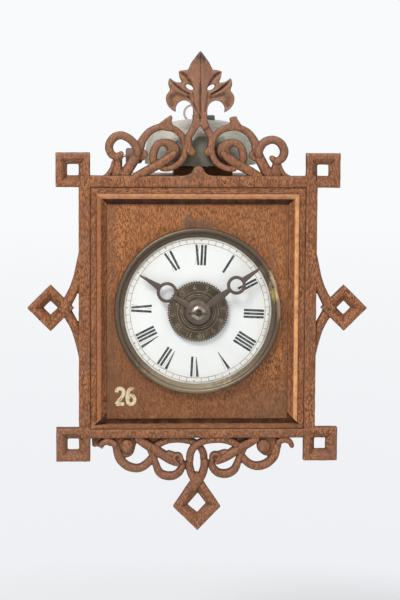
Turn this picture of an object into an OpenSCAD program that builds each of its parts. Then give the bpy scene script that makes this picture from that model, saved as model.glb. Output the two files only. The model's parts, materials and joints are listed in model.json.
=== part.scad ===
// Black forest wall clock with alarm: carved front, bell on the case, brass movement for weights.
// Millimetres. The wall is the plane y = 0, the clock faces -Y and +Z is up.
// The origin is the hole of the hanging eye. Shapes are drawn about the dial's centre.

/* [Carved front] */
// Height of the hanging eye above the dial's centre
dial_drop = 146; // [140:1:156]
// Depth from the wall to the back of the front board
case_depth = 91.5; // [90:0.5:94]
// Thickness of the front board
board_t = 6; // [5:0.5:8]
// Thickness of the sunk panel on the front board
panel_t = 2.5; // [2:0.1:3]
// Thickness of the carved boards
fret_t = 8; // [7:0.5:9]
// Half the width across the two stiles
frame_half_w = 89.3; // [88:0.1:92]
// Top of the upper rail above the dial's centre
rail_top = 101.6; // [101:0.1:104]
// Bottom of the lower rail below the dial's centre
rail_bottom = 97.2; // [96:0.1:100]
// Width of the bars of the frame
bar_w = 8.6; // [7.5:0.1:9.5]
// Clear width of the square hole in a corner ring
ring_hole = 8.5; // [6:0.1:10]
// How much lower a bar lies where another passes over it
under_h = 1.2; // [0.6:0.1:1.6]
// Bevel along the edges of the carved bars
bar_bevel = 0.9; // [0.5:0.1:1.2]
// Height of the crest above the upper rail
crest_rise = 92.7; // [86:0.1:100]
// Half the width across the crest's outer scrolls
crest_half_w = 67.3; // [65:0.1:70]
// How far the finial leans from the middle of the rail
crest_lean = 1.1; // [0:0.1:2]
// How much higher the left outer scroll was carved than the right one
left_scroll_up = 3; // [0:0.1:4]
// How much wider the left outer scroll was carved than the right one
left_scroll_out = 2.4; // [0:0.1:3]
// Depth of the apron below the lower rail
apron_drop = 70.8; // [66:0.1:76]
// Half the width across the apron's outer loops
apron_half_w = 64; // [62:0.1:66]
// How much deeper the left loops of the apron were carved
left_loop_down = 1.5; // [0:0.1:2]
// Height of the side diamonds above the dial's centre
side_z = 2.3; // [-5:0.1:8]
// Distance of a side diamond's centre from the stile
side_out = 21.1; // [20:0.1:22]
// Half the diagonal of a side diamond
side_half = 17.5; // [16:0.1:18.5]
// Half the diagonal of the hole in a side diamond
side_hole = 5.3; // [4:0.1:6]

/* [Mouldings and panel] */
// Width of the flat strip along the outside of the mouldings
strip_w = 4.6; // [3.5:0.1:5]
// Width of the round bead next to the strip
bead_w = 4.2; // [3.5:0.1:4.6]
// Width of the slope at the side mouldings
slope_w = 3.4; // [3:0.1:3.8]
// Depth of the mouldings' strip below the carved face
strip_low = 1.9; // [1:0.1:3]
// Height of the bead above the strip
bead_h = 1.2; // [0.8:0.1:1.6]
// Width of the dark channels above and below the panel
channel_w = 4; // [3:0.1:5]
// Width of the strip of the bottom moulding
low_strip_w = 3.4; // [3:0.1:4.5]

/* [Dial and hands] */
// Radius of the enamel dial
dial_r = 59.4; // [58:0.1:60]
// Thickness of the enamel dial at its rim
dial_rim_t = 1; // [0.8:0.1:1.4]
// Height of the dial's dome over its rim
dial_dome = 3; // [2:0.1:3.6]
// How far the bezel stands out around the dial
bezel_out = 3.4; // [3:0.1:4]
// How far the bezel laps over the dial's rim
bezel_lap = 3.7; // [2.5:0.1:5]
// Height of the bezel over the panel
bezel_h = 6.4; // [5.5:0.1:7.5]
// Radius of the alarm disc over its teeth
disc_r = 23.2; // [21:0.1:25]
// Teeth on the alarm disc
disc_teeth = 72; // [60:1:100]
// Thickness of the alarm disc
disc_t = 1.1; // [0.8:0.1:1.4]
// Length of the minute hand from its axis
minute_len = 58; // [55:0.1:60]
// Length of the hour hand from its axis
hour_len = 51.9; // [48:0.1:53]
// Distance of the minute hand's ring from its axis
minute_ring_at = 35; // [33:0.1:37]
// Distance of the hour hand's ring from its axis
hour_ring_at = 27.6; // [26:0.1:29]
// Outer radius of the minute hand's ring
minute_ring_r = 7.1; // [6:0.1:7.5]
// Outer radius of the hour hand's ring
hour_ring_r = 7.8; // [7:0.1:8.4]
// Width of the metal around the rings of the hands
ring_w = 2.4; // [1.6:0.1:3]
// Thickness of the hands
hand_t = 0.9; // [0.7:0.1:1.1]
// Radius of the minute hand's hub
minute_hub_r = 8.6; // [7.5:0.1:9.5]
// Radius of the hour hand's hub
hour_hub_r = 9.4; // [8:0.1:10]
// Radius of the hand nut
nut_r = 5.5; // [4.5:0.1:6]
// Length of the hand nut
nut_h = 3.6; // [3:0.1:5]
// Length of the taper pin
pin_len = 15; // [13:0.5:17]
// Radius of the taper pin
pin_r = 0.75; // [0.6:0.05:0.8]

/* [Bell and hammer] */
// Distance of the bell's axis to the right of the dial's centre
bell_x = 4; // [2:0.5:6]
// Radius of the bell at its lip as a share of the case's depth
bell_share = 0.468; // [0.42:0.001:0.468]
// Distance of the bell's axis behind the front board as a share of the case's depth
bell_back_share = 0.426; // [0.421:0.001:0.48]
// Height of the bell
bell_h = 34; // [30:0.5:36]
// Wall of the bell
bell_t = 1.6; // [1.2:0.1:2.2]
// Height of the bell's lip above the dial's centre
bell_lip_z = 108.5; // [108.5:0.5:112]
// Radius of the bell post
post_r = 2.9; // [2.5:0.1:3.5]
// Side of the square bell nut
bell_nut_w = 16.5; // [14:0.5:18]
// Thickness of the bell nut
bell_nut_t = 3.2; // [2.5:0.1:5]
// How far the square nut is off the post's middle, to the right
bell_nut_off = 2.2; // [0:0.1:3]
// Height of the wooden bell block
block_h = 7; // [5:0.5:9]
// Radius of the hammer head
hammer_r = 6; // [5:0.1:6.5]
// Length of the hammer head
hammer_len = 13; // [11:0.1:13.2]
// Height of the hammer head's middle above the bell's lip
hammer_up = 5.9; // [4:0.1:8]
// Gap between the hammer head and the bell at rest
hammer_gap = 1.8; // [1.7:0.1:2.4]
// Radius of the hammer wire
wire_r = 0.9; // [0.7:0.1:1]

/* [Case] */
// Half the width of the case
case_half_w = 66; // [65:0.5:68]
// Underside of the top board above the dial's centre
top_z = 93; // [92:0.5:94]
// Upper side of the bottom board below the dial's centre
floor_z = 72; // [70:0.5:80]
// Thickness of the case's boards
case_t = 6; // [5:0.5:7]
// Side of the square corner posts
post_w = 10; // [8:0.5:10]
// Thickness of the side doors
door_t = 3.5; // [3:0.1:4]
// Gap around the side doors
door_gap = 0.4; // [0.3:0.05:0.6]
// Radius of the doors' hinge pins
hinge_r = 1; // [0.8:0.1:1.2]
// Radius of the hole in the hanging eye
eye_hole_r = 5.5; // [5:0.1:6]
// Outer radius of the hanging eye
eye_r = 7.2; // [7:0.1:9]
// Thickness of the hanging eye
eye_t = 2; // [1.5:0.1:2.5]

/* [Movement] */
// Thickness of the movement plates
plate_t = 2; // [1.6:0.1:2.2]
// Distance from the front board to the front plate
dial_foot = 11.5; // [11.5:0.1:12.5]
// Room for the pendulum between the back plate and the back board
back_room = 22; // [20:0.5:23]
// Module of the centre wheel
centre_m = 0.6; // [0.56:0.01:0.62]
// Module of the third wheel
third_m = 0.55; // [0.5:0.01:0.56]
// Module of the great wheel
great_m = 0.9; // [0.86:0.01:0.92]
// Module of the cannon pinion and the minute wheel
motion_m = 0.75; // [0.7:0.01:0.78]
// Radius of the escape wheel
escape_r = 17; // [15:0.1:17.4]
// Radius of the alarm wheel
alarm_wheel_r = 15; // [13:0.1:16]
// Thickness of the wheels
wheel_t = 1.3; // [1:0.1:1.6]
// Radius of the arbors
arbor_r = 1.6; // [1.4:0.05:1.8]
// Radius of the pivots
pivot_r = 0.9; // [0.7:0.05:1]
// Radius of the centre arbor
centre_r = 1.4; // [1.2:0.05:1.5]
// Wall of the cannon, hour and alarm pipes
pipe_wall = 0.75; // [0.6:0.05:0.8]
// Radial clearance of pivots, pipes and hinge pins
run_gap = 0.06; // [0.04:0.01:0.09]
// Radial clearance of pieces that turn together
fit_gap = 0.02; // [0.01:0.01:0.05]
// Radius of the chain sprockets
sprocket_r = 11; // [9:0.1:11.5]

/* [Hidden] */
wood = "#8a5a3c";
dark_wood = "#6b4430";
enamel = "#f2f2ee";
tarnished = "#4a3f35";
brass = "#b08d4c";
iron = "#4c4c4c";
silver = "#b9bab6";
$fn = 64;
curve_steps = 3;
hair = 0.01;

// Depths along Y of the front's layers
board_front = -(case_depth + board_t);
panel_face = board_front - panel_t;
fret_front = board_front - fret_t;
strip_face = fret_front + strip_low;

// A flat shape drawn as seen from the front, from depth back to depth front
module slab(front, back) translate([0, back, 0]) rotate([90, 0, 0])
  linear_extrude(back - front) children();
// A profile of [radius, y] points turned about the Y axis
module turned(points) rotate([90, 0, 0]) rotate_extrude() polygon([for (p = points) [p[0], -p[1]]]);
// A rod along Y between two depths
module rod(r, front, back) translate([0, back, 0]) rotate([90, 0, 0]) cylinder(r = r, h = back - front);
module at(p) translate([p[0], 0, p[1]]) children();
module on_clock() translate([0, 0, -dial_drop]) children();

// Smooth open curve through the listed points
function blend(a, b, c, d, t) =
  0.5 * (2 * b + (c - a) * t + (2 * a - 5 * b + 4 * c - d) * t * t + (3 * b - a - 3 * c + d) * t * t * t);
function curve(p, n = curve_steps) = let (last = len(p) - 1) concat(
  [for (i = [0 : last - 1], k = [0 : n - 1])
    blend(p[max(i - 1, 0)], p[i], p[i + 1], p[min(i + 2, last)], k / n)],
  [p[last]]);
function heading(p, i) = let (
  last = len(p) - 1,
  a = p[max(i - 1, 0)],
  b = p[min(i + 1, last)],
  d = [b[0] - a[0], b[1] - a[1]]) d / norm(d);
function edge(p, side, grow) = [for (i = [0 : len(p) - 1]) let (
  h = heading(p, i),
  r = max(p[i][2] / 2 + grow, 0.15)) [p[i][0] - side * h[1] * r, p[i][1] + side * h[0] * r]];
function backward(p) = [for (i = [len(p) - 1 : -1 : 0]) p[i]];
function ribbon(p, grow = 0) = concat(edge(p, 1, grow), backward(edge(p, -1, grow)));
function plan(p) = [for (q = p) [q[0], q[1]]];

// A carved bar along a curve of [x, z, width] points, with bevelled edges
module bar(points, low = 0) {
  path = curve(points);
  face = fret_front + low;
  slab(face + bar_bevel, board_front) polygon(ribbon(path));
  slab(face, face + bar_bevel) polygon(ribbon(path, -bar_bevel));
}

// Crest points are drawn above the rail for the right side; the left side was carved a little larger
crest_kx = crest_half_w / 67.3;
crest_kz = crest_rise / 92.7;
bar_k = bar_w / 8.6;
function outer_share(x) = min(max((x - 42) / 14, 0), 1);
function crest(side, pts, lean = 0) = [for (p = pts) let (
  s = side < 0 ? outer_share(p[0]) : 0,
  x = p[0] * crest_kx + s * left_scroll_out,
  z = p[1] * crest_kz + s * left_scroll_up * min(p[1] / 12, 1))
  [side * x + lean, rail_top + z, p[2] * bar_k]];
big_loop = [[55, -2, 8], [50, 5.5, 8], [46, 13, 7.8], [43.6, 20, 7], [41.5, 26.5, 6], [36, 33, 5.4],
  [27, 36.3, 5], [17.5, 34.2, 5], [11.6, 28, 4.8], [10, 20, 4.6], [11.6, 12.8, 4.8],
  [16.5, 7.7, 4.8], [23, 5.2, 4.4], [29, 5.6, 4]];
diagonal = [[11.8, 21.5, 1.2], [17, 16, 4.6], [23, 11.2, 6.4], [31, 6.3, 6.4], [40, 2, 5.6], [48, -2, 5]];
inner_curl = [[32.5, 7.5, 5], [35, 14, 5.4], [33.2, 20.8, 5.3], [27.8, 23.6, 5], [22.4, 21.6, 5],
  [21.6, 15.8, 5], [25, 11, 4]];
outer_scroll = [[44.8, 14, 6], [45.6, 20.5, 6.2], [49.5, 26, 6], [55.6, 27.8, 6], [61.3, 25.2, 6.2],
  [64.2, 19.2, 6.2], [62.2, 13.6, 5.6], [57.8, 12.2, 4.6], [55, 14.6, 3], [54.4, 17.3, 1.4]];
foot = [[59.5, -1.5, 7.4], [59.3, 4, 6], [59, 8, 5.2], [58.6, 11, 4.8]];
foot_flare = [[71, -1.5, 1.5], [65.5, 0.5, 3], [62.2, 4.5, 3], [60.8, 9, 2.5]];
leg = [[2, 44, 6], [3.2, 38.5, 5.4], [5.4, 33.5, 5], [8.2, 29, 4.6], [9.4, 24, 4.4], [9.2, 19.5, 4.6],
  [7.2, 15.6, 5], [4.6, 13.6, 5.2], [3.4, 13.4, 4.2]];
top_thorn = [[19, 37.6, 0], [20.4, 42.4, 0], [24.8, 44.8, 0], [28, 41.2, 0], [32.5, 37.4, 0], [26, 36, 0]];
inner_thorn = [[43, 21.5, 0], [38.2, 17, 0], [38.4, 13.6, 0], [42, 11, 0], [45, 14, 0]];
// Runs of the finial's outline between its sharp corners, from the tip down the right side
finial_runs = [
  [[0, 92.7], [3.2, 88.6], [6.8, 83.6], [9.2, 78.6]],
  [[9.2, 78.6], [12.6, 78.4], [16.1, 77.6]],
  [[16.1, 77.6], [15.4, 73.2], [13.5, 69.2]],
  [[13.5, 69.2], [18, 69.6], [22.8, 72.6]],
  [[22.8, 72.6], [23.7, 68.4], [22.4, 63.6]],
  [[22.4, 63.6], [25.2, 59], [25.1, 54.6], [22.6, 50.3], [17.9, 47]],
  [[17.9, 47], [18.3, 50.6], [16.2, 54.3], [12, 56], [7.8, 54.4], [5.6, 50.6], [5.2, 45.4], [5.4, 41],
   [6.6, 37]],
  [[6.6, 37], [3, 34.4], [0, 37.4]]];
function finial_side(side) = [for (run = finial_runs, q = curve(run, 3))
  [crest_lean + side * q[0] * crest_kx, rail_top + q[1] * crest_kz]];
module finial() polygon(concat(finial_side(1), backward(finial_side(-1))));
eye_at = [8, 65.7];
eye_half = [3.1, 1.6];
eye_turn = 32;
module finial_eye(side)
  translate([crest_lean + side * eye_at[0] * crest_kx, rail_top + eye_at[1] * crest_kz])
    rotate(side * eye_turn) polygon([for (a = [0 : 30 : 330]) [eye_half[0] * cos(a), eye_half[1] * sin(a)]]);
rail_point = curve([[-15, -0.6], [-8.5, 0.6], [-5, 2.6], [-3, 6.2], [0, 7.2],
  [3, 6.2], [5, 2.6], [8.5, 0.6], [15, -0.6]]);

// One of the square rings at the frame's corners, joined to the end of a rail
module corner_ring(side, edge_z, up) {
  reach = ring_hole + 2 * bar_w;
  inner_x = frame_half_w - bar_w;
  slab(fret_front, board_front) difference() {
    translate([side > 0 ? inner_x : -inner_x - reach, up > 0 ? edge_z - bar_w : edge_z + bar_w - reach])
      square(reach);
    translate([side > 0 ? frame_half_w : -frame_half_w - ring_hole, up > 0 ? edge_z : edge_z - ring_hole])
      square(ring_hole);
  }
}
module rail(z) slab(fret_front, board_front) translate([-frame_half_w, z])
  square([2 * frame_half_w, bar_w]);
module crest_scrolls(side) {
  bar(crest(side, big_loop), under_h);
  bar(crest(side, diagonal), 0);
  bar(crest(side, inner_curl), 2 * under_h);
  bar(crest(side, outer_scroll), 0);
  bar(crest(side, foot), under_h);
  bar(crest(side, foot_flare), under_h);
  bar(crest(side, leg, crest_lean), side < 0 ? 0 : 2 * under_h);
  slab(fret_front + under_h, board_front) polygon(plan(crest(side, top_thorn)));
  slab(fret_front + 2 * under_h, board_front) polygon(plan(crest(side, inner_thorn)));
}
module crest_board() on_clock() color(wood) {
  for (side = [-1, 1]) {
    crest_scrolls(side);
    corner_ring(side, rail_top, 1);
  }
  difference() {
    slab(fret_front, board_front) finial();
    for (side = [-1, 1])
      slab(fret_front - 1, board_front + 1) finial_eye(side);
  }
  rail(rail_top - bar_w);
  slab(fret_front, board_front) polygon([for (p = rail_point) [p[0], rail_top + p[1]]]);
}

// Apron points are drawn below the lower rail for the right side
apron_kx = apron_half_w / 64;
apron_kz = apron_drop / 70.8;
function apron(side, pts) = [for (p = pts) let (
  z = p[1] * apron_kz - (side < 0 && p[0] > 9 ? left_loop_down * min(max(-p[1] / 24, 0), 1) : 0))
  [side * p[0] * apron_kx, z - rail_bottom, p[2] * bar_k]];
knot_low = [[4.5, -40, 7.4], [-2.4, -30.6, 6.6], [-5.4, -23, 6], [-5.6, -15.5, 5.8]];
knot_high = [[-5.4, -19, 5.8], [-5, -12.5, 5.6], [-2.6, -7.4, 5.4], [2, -3.6, 5.2], [7.6, -1.9, 5.2],
  [14, -1.6, 5.2], [21, -4, 5], [26.5, -8.2, 4.4]];
brace = [[47, 1, 6], [38, -4.5, 7], [30, -9.3, 7.2], [23, -13.8, 7], [17.5, -17, 5.5], [13.5, -19.5, 2]];
small_loop = [[23.5, -10.5, 4.4], [17, -12.6, 4.8], [12, -16.5, 5], [11.8, -22, 5.6], [16, -26.6, 6.2],
  [22.5, -27.6, 6.6], [28.3, -24.8, 6.2], [31.2, -18.6, 5.4], [33.5, -12.5, 5], [36.5, -7, 4.5]];
outer_loop = [[33.5, -13, 5.5], [37, -17.6, 6], [42, -21, 6.2], [47.5, -21.6, 6.4], [53.5, -19.6, 6.6],
  [58.6, -14.4, 6.6], [60.8, -7.5, 6], [62.4, -2.4, 4.8]];
hook = [[60.5, -4.4, 4.6], [63, -2.4, 4.4], [67, -1.5, 4], [71, -3.4, 4], [72.4, -7.4, 3.6]];
lobe = [[45.5, -1.5], [46.6, -6.5], [48.4, -11.2], [51.4, -13.6], [55, -13.8], [58.6, -10.6], [59.5, -4],
  [55, 0.5], [48, 1.5]];
broken_end = [[61, 1], [79.6, 1], [79.4, -5.7], [77.6, -6.4], [75.8, -5.9], [74, -6.3], [72, -7.9],
  [70.2, -5.8], [68.6, -4.7], [66, -5.6], [62, -6]];
kite_out = [[0, -25.4], [18.1, -52.6], [0.6, -70.8], [-18.1, -52.6]];
kite_in = [[0.9, -42.4], [7, -50.4], [0.5, -57.6], [-6.9, -51.4]];
module apron_side(side) {
  bar(apron(side, outer_loop), under_h);
  bar(apron(side, small_loop), under_h);
  bar(apron(side, brace), 0);
  slab(fret_front + 2 * under_h, board_front) polygon(plan(apron(side, [for (p = lobe) [p[0], p[1], 0]])));
  if (side > 0)
    bar(apron(side, hook), 0);
  else
    slab(fret_front + 2 * under_h, board_front)
      polygon(plan(apron(side, [for (p = broken_end) [p[0], p[1], 0]])));
}
module apron_board() on_clock() color(wood) {
  for (side = [-1, 1]) {
    apron_side(side);
    corner_ring(side, -rail_bottom, -1);
    bar(apron(side, knot_low), side > 0 ? 0 : under_h);
    bar(apron(side, knot_high), side > 0 ? 2 * under_h : under_h);
  }
  slab(fret_front + under_h, board_front) difference() {
    polygon(plan(apron(1, [for (p = kite_out) [p[0], p[1], 0]])));
    polygon(plan(apron(1, [for (p = kite_in) [p[0], p[1], 0]])));
  }
  rail(-rail_bottom);
}

// Arms that carry a side diamond, drawn from the stile's outer edge and the diamond's height
arm_high = [[-2.9, 43.7, 5], [-1.4, 31.7, 7], [1.3, 20.2, 7.2], [5, 10.9, 7.4], [10, 1.7, 7.8],
  [13.7, -4.3, 8]];
arm_low = [[-2.7, -38.3, 5], [-0.9, -26.3, 7], [2.2, -15.8, 7.2], [6.3, -7.9, 7.4], [10.7, -0.7, 7.8],
  [14.2, 4.7, 8]];
arm_k = side_out / 21.1;
function arm(side, pts) = [for (p = pts)
  [side * (frame_half_w + (p[0] > 0 ? p[0] * arm_k : p[0])), side_z + p[1] * arm_k, p[2] * bar_k]];
module stile(side) {
  low_z = -rail_bottom + bar_w;
  high_z = rail_top - bar_w;
  slab(fret_front, board_front) translate([side > 0 ? frame_half_w - bar_w : -frame_half_w, low_z])
    square([bar_w, high_z - low_z]);
  bar(arm(side, arm_high), 0);
  bar(arm(side, arm_low), under_h);
  slab(fret_front + under_h / 2, board_front)
    translate([side * (frame_half_w + side_out), side_z]) rotate(45) difference() {
      square(side_half * sqrt(2), center = true);
      square(side_hole * sqrt(2), center = true);
    }
}
module left_stile() on_clock() color(wood) stile(-1);
module right_stile() on_clock() color(wood) stile(1);

// Profile of a moulding as [distance from its outer edge, y] points, cut off after its slope or its bead
bead_arc = [for (a = [0 : 30 : 180])
  [strip_w + bead_w / 2 * (1 - cos(a)), strip_face - bead_h * sin(a)]];
function moulding_profile(slope) = concat([[0, board_front], [0, strip_face]], bead_arc,
  slope > 0 ? [[strip_w + bead_w + slope, panel_face - 0.4], [strip_w + bead_w + slope, board_front]]
    : [[strip_w + bead_w, board_front]]);
mould_x = frame_half_w - bar_w;
mould_top = rail_top - bar_w;
mould_low = -rail_bottom + bar_w;
side_w = strip_w + bead_w + slope_w;
// A moulding's outline seen from the front: its ends are cut at 45 degrees
module mitre(w, half) polygon([[-half, 0], [half, 0], [half - w, -w], [-half + w, -w]]);
module across(w, half, z, up, profile) intersection() {
  translate([0, 0, z]) slab(fret_front - 2, board_front + 1) mirror([0, up > 0 ? 0 : 1]) mitre(w, half);
  translate([-half, 0, z]) mirror([0, 0, up > 0 ? 0 : 1]) rotate([90, 0, 90]) linear_extrude(2 * half)
    polygon([for (p = profile) [p[1], -p[0]]]);
}
module top_moulding() on_clock() color(wood)
  across(strip_w + bead_w, mould_x, mould_top, 1, moulding_profile(0));
low_profile = [[0, board_front], [0, strip_face], [low_strip_w - 0.8, strip_face],
  [low_strip_w, strip_face + 0.8], [low_strip_w, board_front]];
module bottom_moulding() on_clock() color(wood)
  across(low_strip_w, mould_x, mould_low, -1, low_profile);
module side_moulding(side) intersection() {
  slab(fret_front - 2, board_front + 1) polygon([
    [side * mould_x, mould_top], [side * (mould_x - side_w), mould_top - side_w],
    [side * (mould_x - side_w), mould_low + side_w], [side * mould_x, mould_low]]);
  translate([0, 0, mould_low]) linear_extrude(mould_top - mould_low)
    polygon([for (p = moulding_profile(slope_w)) [side * (mould_x - p[0]), p[1]]]);
}
module left_moulding() on_clock() color(wood) side_moulding(-1);
module right_moulding() on_clock() color(wood) side_moulding(1);

// Pipes around the centre arbor, from the inside out
cannon_r = centre_r + fit_gap + pipe_wall;
hour_pipe_in = cannon_r + run_gap;
hour_pipe_r = hour_pipe_in + pipe_wall;
alarm_pipe_in = hour_pipe_r + run_gap;
alarm_pipe_r = alarm_pipe_in + pipe_wall;
pipe_hole_r = alarm_pipe_r + 1;
board_inset = 1.2;
module front_board() on_clock() color(dark_wood) slab(board_front, -case_depth) difference() {
  translate([-frame_half_w + board_inset, -rail_bottom + board_inset])
    square([2 * (frame_half_w - board_inset), rail_top + rail_bottom - 2 * board_inset]);
  circle(pipe_hole_r);
}
panel_half_w = mould_x - side_w - 0.1;
panel_high = mould_top - strip_w - bead_w - channel_w;
panel_low = mould_low + low_strip_w + channel_w;
module dial_panel() on_clock() color(wood) slab(panel_face, board_front) difference() {
  translate([-panel_half_w, panel_low]) square([2 * panel_half_w, panel_high - panel_low]);
  circle(pipe_hole_r);
}

// Dial, bezel and hands
dome_rim = panel_face - dial_rim_t;
function dome_y(r) = dome_rim - dial_dome * (1 - pow(r / dial_r, 2));
dome_steps = 8;
module enamel_dial() on_clock() color(enamel) turned(concat(
  [[pipe_hole_r, panel_face], [dial_r, panel_face]],
  [for (i = [0 : dome_steps]) let (r = dial_r + (pipe_hole_r - dial_r) * i / dome_steps) [r, dome_y(r)]]));
bezel_seat = 0.3;
bezel_r = dial_r + bezel_out;
bezel_in_r = dial_r - bezel_lap;
bezel_lip = 0.9;
bead_r = 1.9;
module bezel() on_clock() color(tarnished) turned(concat(
  [[dial_r + bezel_seat, panel_face], [bezel_r, panel_face]],
  [for (a = [0 : 30 : 180]) [bezel_r - bead_r * (1 - cos(a)), panel_face - bezel_h + bead_r * (1 - sin(a))]],
  [[bezel_r - 2 * bead_r - 0.6, panel_face - bezel_h + 2.6],
   [bezel_in_r + 0.4, dome_y(bezel_in_r) - bezel_seat - bezel_lip - 0.2],
   [bezel_in_r, dome_y(bezel_in_r) - bezel_seat - bezel_lip],
   [bezel_in_r, dome_y(bezel_in_r) - bezel_seat],
   [dial_r + bezel_seat, dome_rim - bezel_seat]]));

disc_back = panel_face - dial_rim_t - dial_dome - 1.4;
disc_front = disc_back - disc_t;
disc_boss = 0.8;
hour_back = disc_front - disc_boss - 0.4;
hour_front = hour_back - hand_t;
minute_back = hour_front - 2.6;
minute_front = minute_back - hand_t;
nut_back = minute_front - 0.9;
nut_front = nut_back - nut_h;
pin_y = nut_front - pin_r - 0.05;
arbor_front = pin_y - 2 * pin_r;

// Points of a toothed rim: flat crowns, straight flanks and wide gaps
tooth_up = 0.9;
tooth_down = 1.2;
crown_share = 0.09;
root_share = 0.29;
function teeth(n, m, turn = 0, up = tooth_up) = [for (i = [0 : n - 1], k = [0 : 3]) let (
  share = [-root_share, -crown_share, crown_share, root_share][k],
  r = n * m / 2 + (k == 0 || k == 3 ? -tooth_down * m : up * m),
  a = turn + (i + share) * 360 / n) [r * cos(a), r * sin(a)]];
// Points of a rim with pointed teeth
function saw(n, r, depth, lean = 0.5, turn = 0) = [for (i = [0 : n - 1], k = [0, 1]) let (
  rr = k == 0 ? r - depth : r,
  a = turn + (i + k * lean) * 360 / n) [rr * cos(a), rr * sin(a)]];

disc_tooth = 1.3;
disc_ring_r = 14.3;
disc_ring_w = 0.8;
disc_boss_r = 9.6;
cam_t = 1.3;
cam_front = -case_depth + 1;
cam_r = 8;
alarm_pipe_back = cam_front + cam_t + 0.4;
module alarm_disc() on_clock() color(tarnished) difference() {
  union() {
    slab(disc_front, disc_back) polygon(saw(disc_teeth, disc_r, disc_tooth));
    turned([[0, disc_back], [disc_ring_r, disc_back], [disc_ring_r, disc_front - 0.3],
      [disc_ring_r - disc_ring_w, disc_front - 0.3], [disc_ring_r - disc_ring_w, disc_front],
      [disc_boss_r, disc_front], [disc_boss_r - 0.5, disc_front - disc_boss], [0, disc_front - disc_boss]]);
  }
  rod(alarm_pipe_r + fit_gap, disc_front - disc_boss - 1, disc_back + 1);
}
module alarm_pipe() on_clock() color(brass) difference() {
  rod(alarm_pipe_r, disc_front - disc_boss, alarm_pipe_back);
  rod(alarm_pipe_in, disc_front - disc_boss - 1, alarm_pipe_back + 1);
}
notch_turn = 200;
module alarm_cam() on_clock() color(brass) slab(cam_front, cam_front + cam_t) difference() {
  circle(cam_r);
  circle(alarm_pipe_r + fit_gap);
  rotate(notch_turn) polygon([[cam_r - 2.6, 0], [cam_r + 1, -0.6], [cam_r + 1, 4.6]]);
}

minute_turn = -54.2;
hour_turn = -302.3;
module hand_ring(at_r, r) translate([0, at_r]) difference() {
  circle(r);
  circle(r - ring_w);
}
module minute_hand() on_clock() color(tarnished) rotate([0, -minute_turn, 0]) difference() {
  union() {
    slab(minute_front, minute_back) {
      polygon(ribbon(curve([[0, minute_hub_r - 1.5, 3.2], [0, 11.5, 4.2], [0, 16.7, 6],
        [0, 22, 5.2], [0, minute_ring_at - minute_ring_r + 0.6, 3.4]])));
      hand_ring(minute_ring_at, minute_ring_r);
      polygon(ribbon(curve([[0, minute_ring_at + minute_ring_r - ring_w / 2, 4.6],
        [0, minute_len - 8, 2.8], [0, minute_len, 1.2]])));
    }
    turned([[0, minute_back + 0.5], [minute_hub_r - 2, minute_back + 0.5], [minute_hub_r, minute_back],
      [minute_hub_r, minute_front], [minute_hub_r - 1.2, minute_front - 0.6], [0, minute_front - 0.6]]);
  }
  rod(cannon_r + fit_gap, minute_front - 1, minute_back + 1);
}
module hour_hand() on_clock() color(tarnished) rotate([0, -hour_turn, 0]) difference() {
  union() {
    slab(hour_front, hour_back) {
      polygon(ribbon(curve([[0, hour_hub_r - 2, 5.4], [0, 13, 4.2],
        [0, hour_ring_at - hour_ring_r + 0.8, 3.4]])));
      hand_ring(hour_ring_at, hour_ring_r);
      polygon(ribbon(curve([[0, hour_ring_at + hour_ring_r - ring_w / 2, 5.4],
        [0, hour_ring_at + hour_ring_r + 6, 3], [0, hour_len, 1.2]])));
    }
    turned([[0, hour_back], [hour_hub_r, hour_back], [hour_hub_r, hour_front],
      [hour_hub_r - 1, hour_front - 0.4],
      [hour_pipe_r + 1.6, hour_front - 0.5], [hour_pipe_r + 1.6, hour_front - 1.6], [0, hour_front - 1.6]]);
  }
  rod(hour_pipe_r + fit_gap, hour_front - 2, hour_back + 1);
}
module hand_nut() on_clock() color(brass)
  turned([[centre_r + fit_gap, nut_back], [nut_r, nut_back], [nut_r, nut_front + 1.6],
    [nut_r - 0.7, nut_front + 0.7],
    [nut_r - 1.9, nut_front], [centre_r + 1.3, nut_front], [centre_r + fit_gap, nut_front + 0.8]]);
module taper_pin() on_clock() color(iron) translate([-pin_len / 2, pin_y, 0]) rotate([0, 90, 0])
  cylinder(r = pin_r, h = pin_len);

// Movement: depths of the plates and the places of the arbors
plate_front = -case_depth + dial_foot;
inner_front = plate_front + plate_t;
plate_back = -case_t - back_room - plate_t;
plate_gap = plate_back - inner_front;
sprocket_w = plate_gap / 6;
centre_teeth = 80;
third_teeth = 72;
great_teeth = 48;
small_pins = 8;
great_pins = 12;
escape_teeth = 40;
cannon_teeth = 12;
minute_teeth = 36;
minute_pinion = 10;
hour_teeth = 40;
hour_m = motion_m * (cannon_teeth + minute_teeth) / (minute_pinion + hour_teeth);
function polar(r, a) = [r * cos(a), r * sin(a)];
third_turn = 127.6;
third_at = polar((centre_teeth + small_pins) * centre_m / 2, third_turn);
escape_span = (third_teeth + small_pins) * third_m / 2;
escape_at = [0, third_at[1] + sqrt(escape_span * escape_span - third_at[0] * third_at[0])];
great_turn = -63.6;
great_at = polar((great_teeth + great_pins) * great_m / 2, great_turn);
minute_turn_at = 45;
minute_at = polar((cannon_teeth + minute_teeth) * motion_m / 2, minute_turn_at);
anchor_at = [0, escape_at[1] + escape_r + 4.1];
alarm_at = [-42, 18];
hammer_at = [-50, 54];
lever_at = [-24, 8];
function toward(a, b) = atan2(b[1] - a[1], b[0] - a[0]);

// Depths of the wheels
centre_y = inner_front + plate_gap / 12;
alarm_y = inner_front + plate_gap / 6;
great_y = inner_front + plate_gap / 4;
sprocket_y = great_y + wheel_t + 2.6;
third_y = inner_front + plate_gap * 13 / 24;
escape_y = inner_front + plate_gap * 3 / 4;
ratchet_t = 1.6;
ratchet_r = 9.4;
bore_of = arbor_r + fit_gap;

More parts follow.
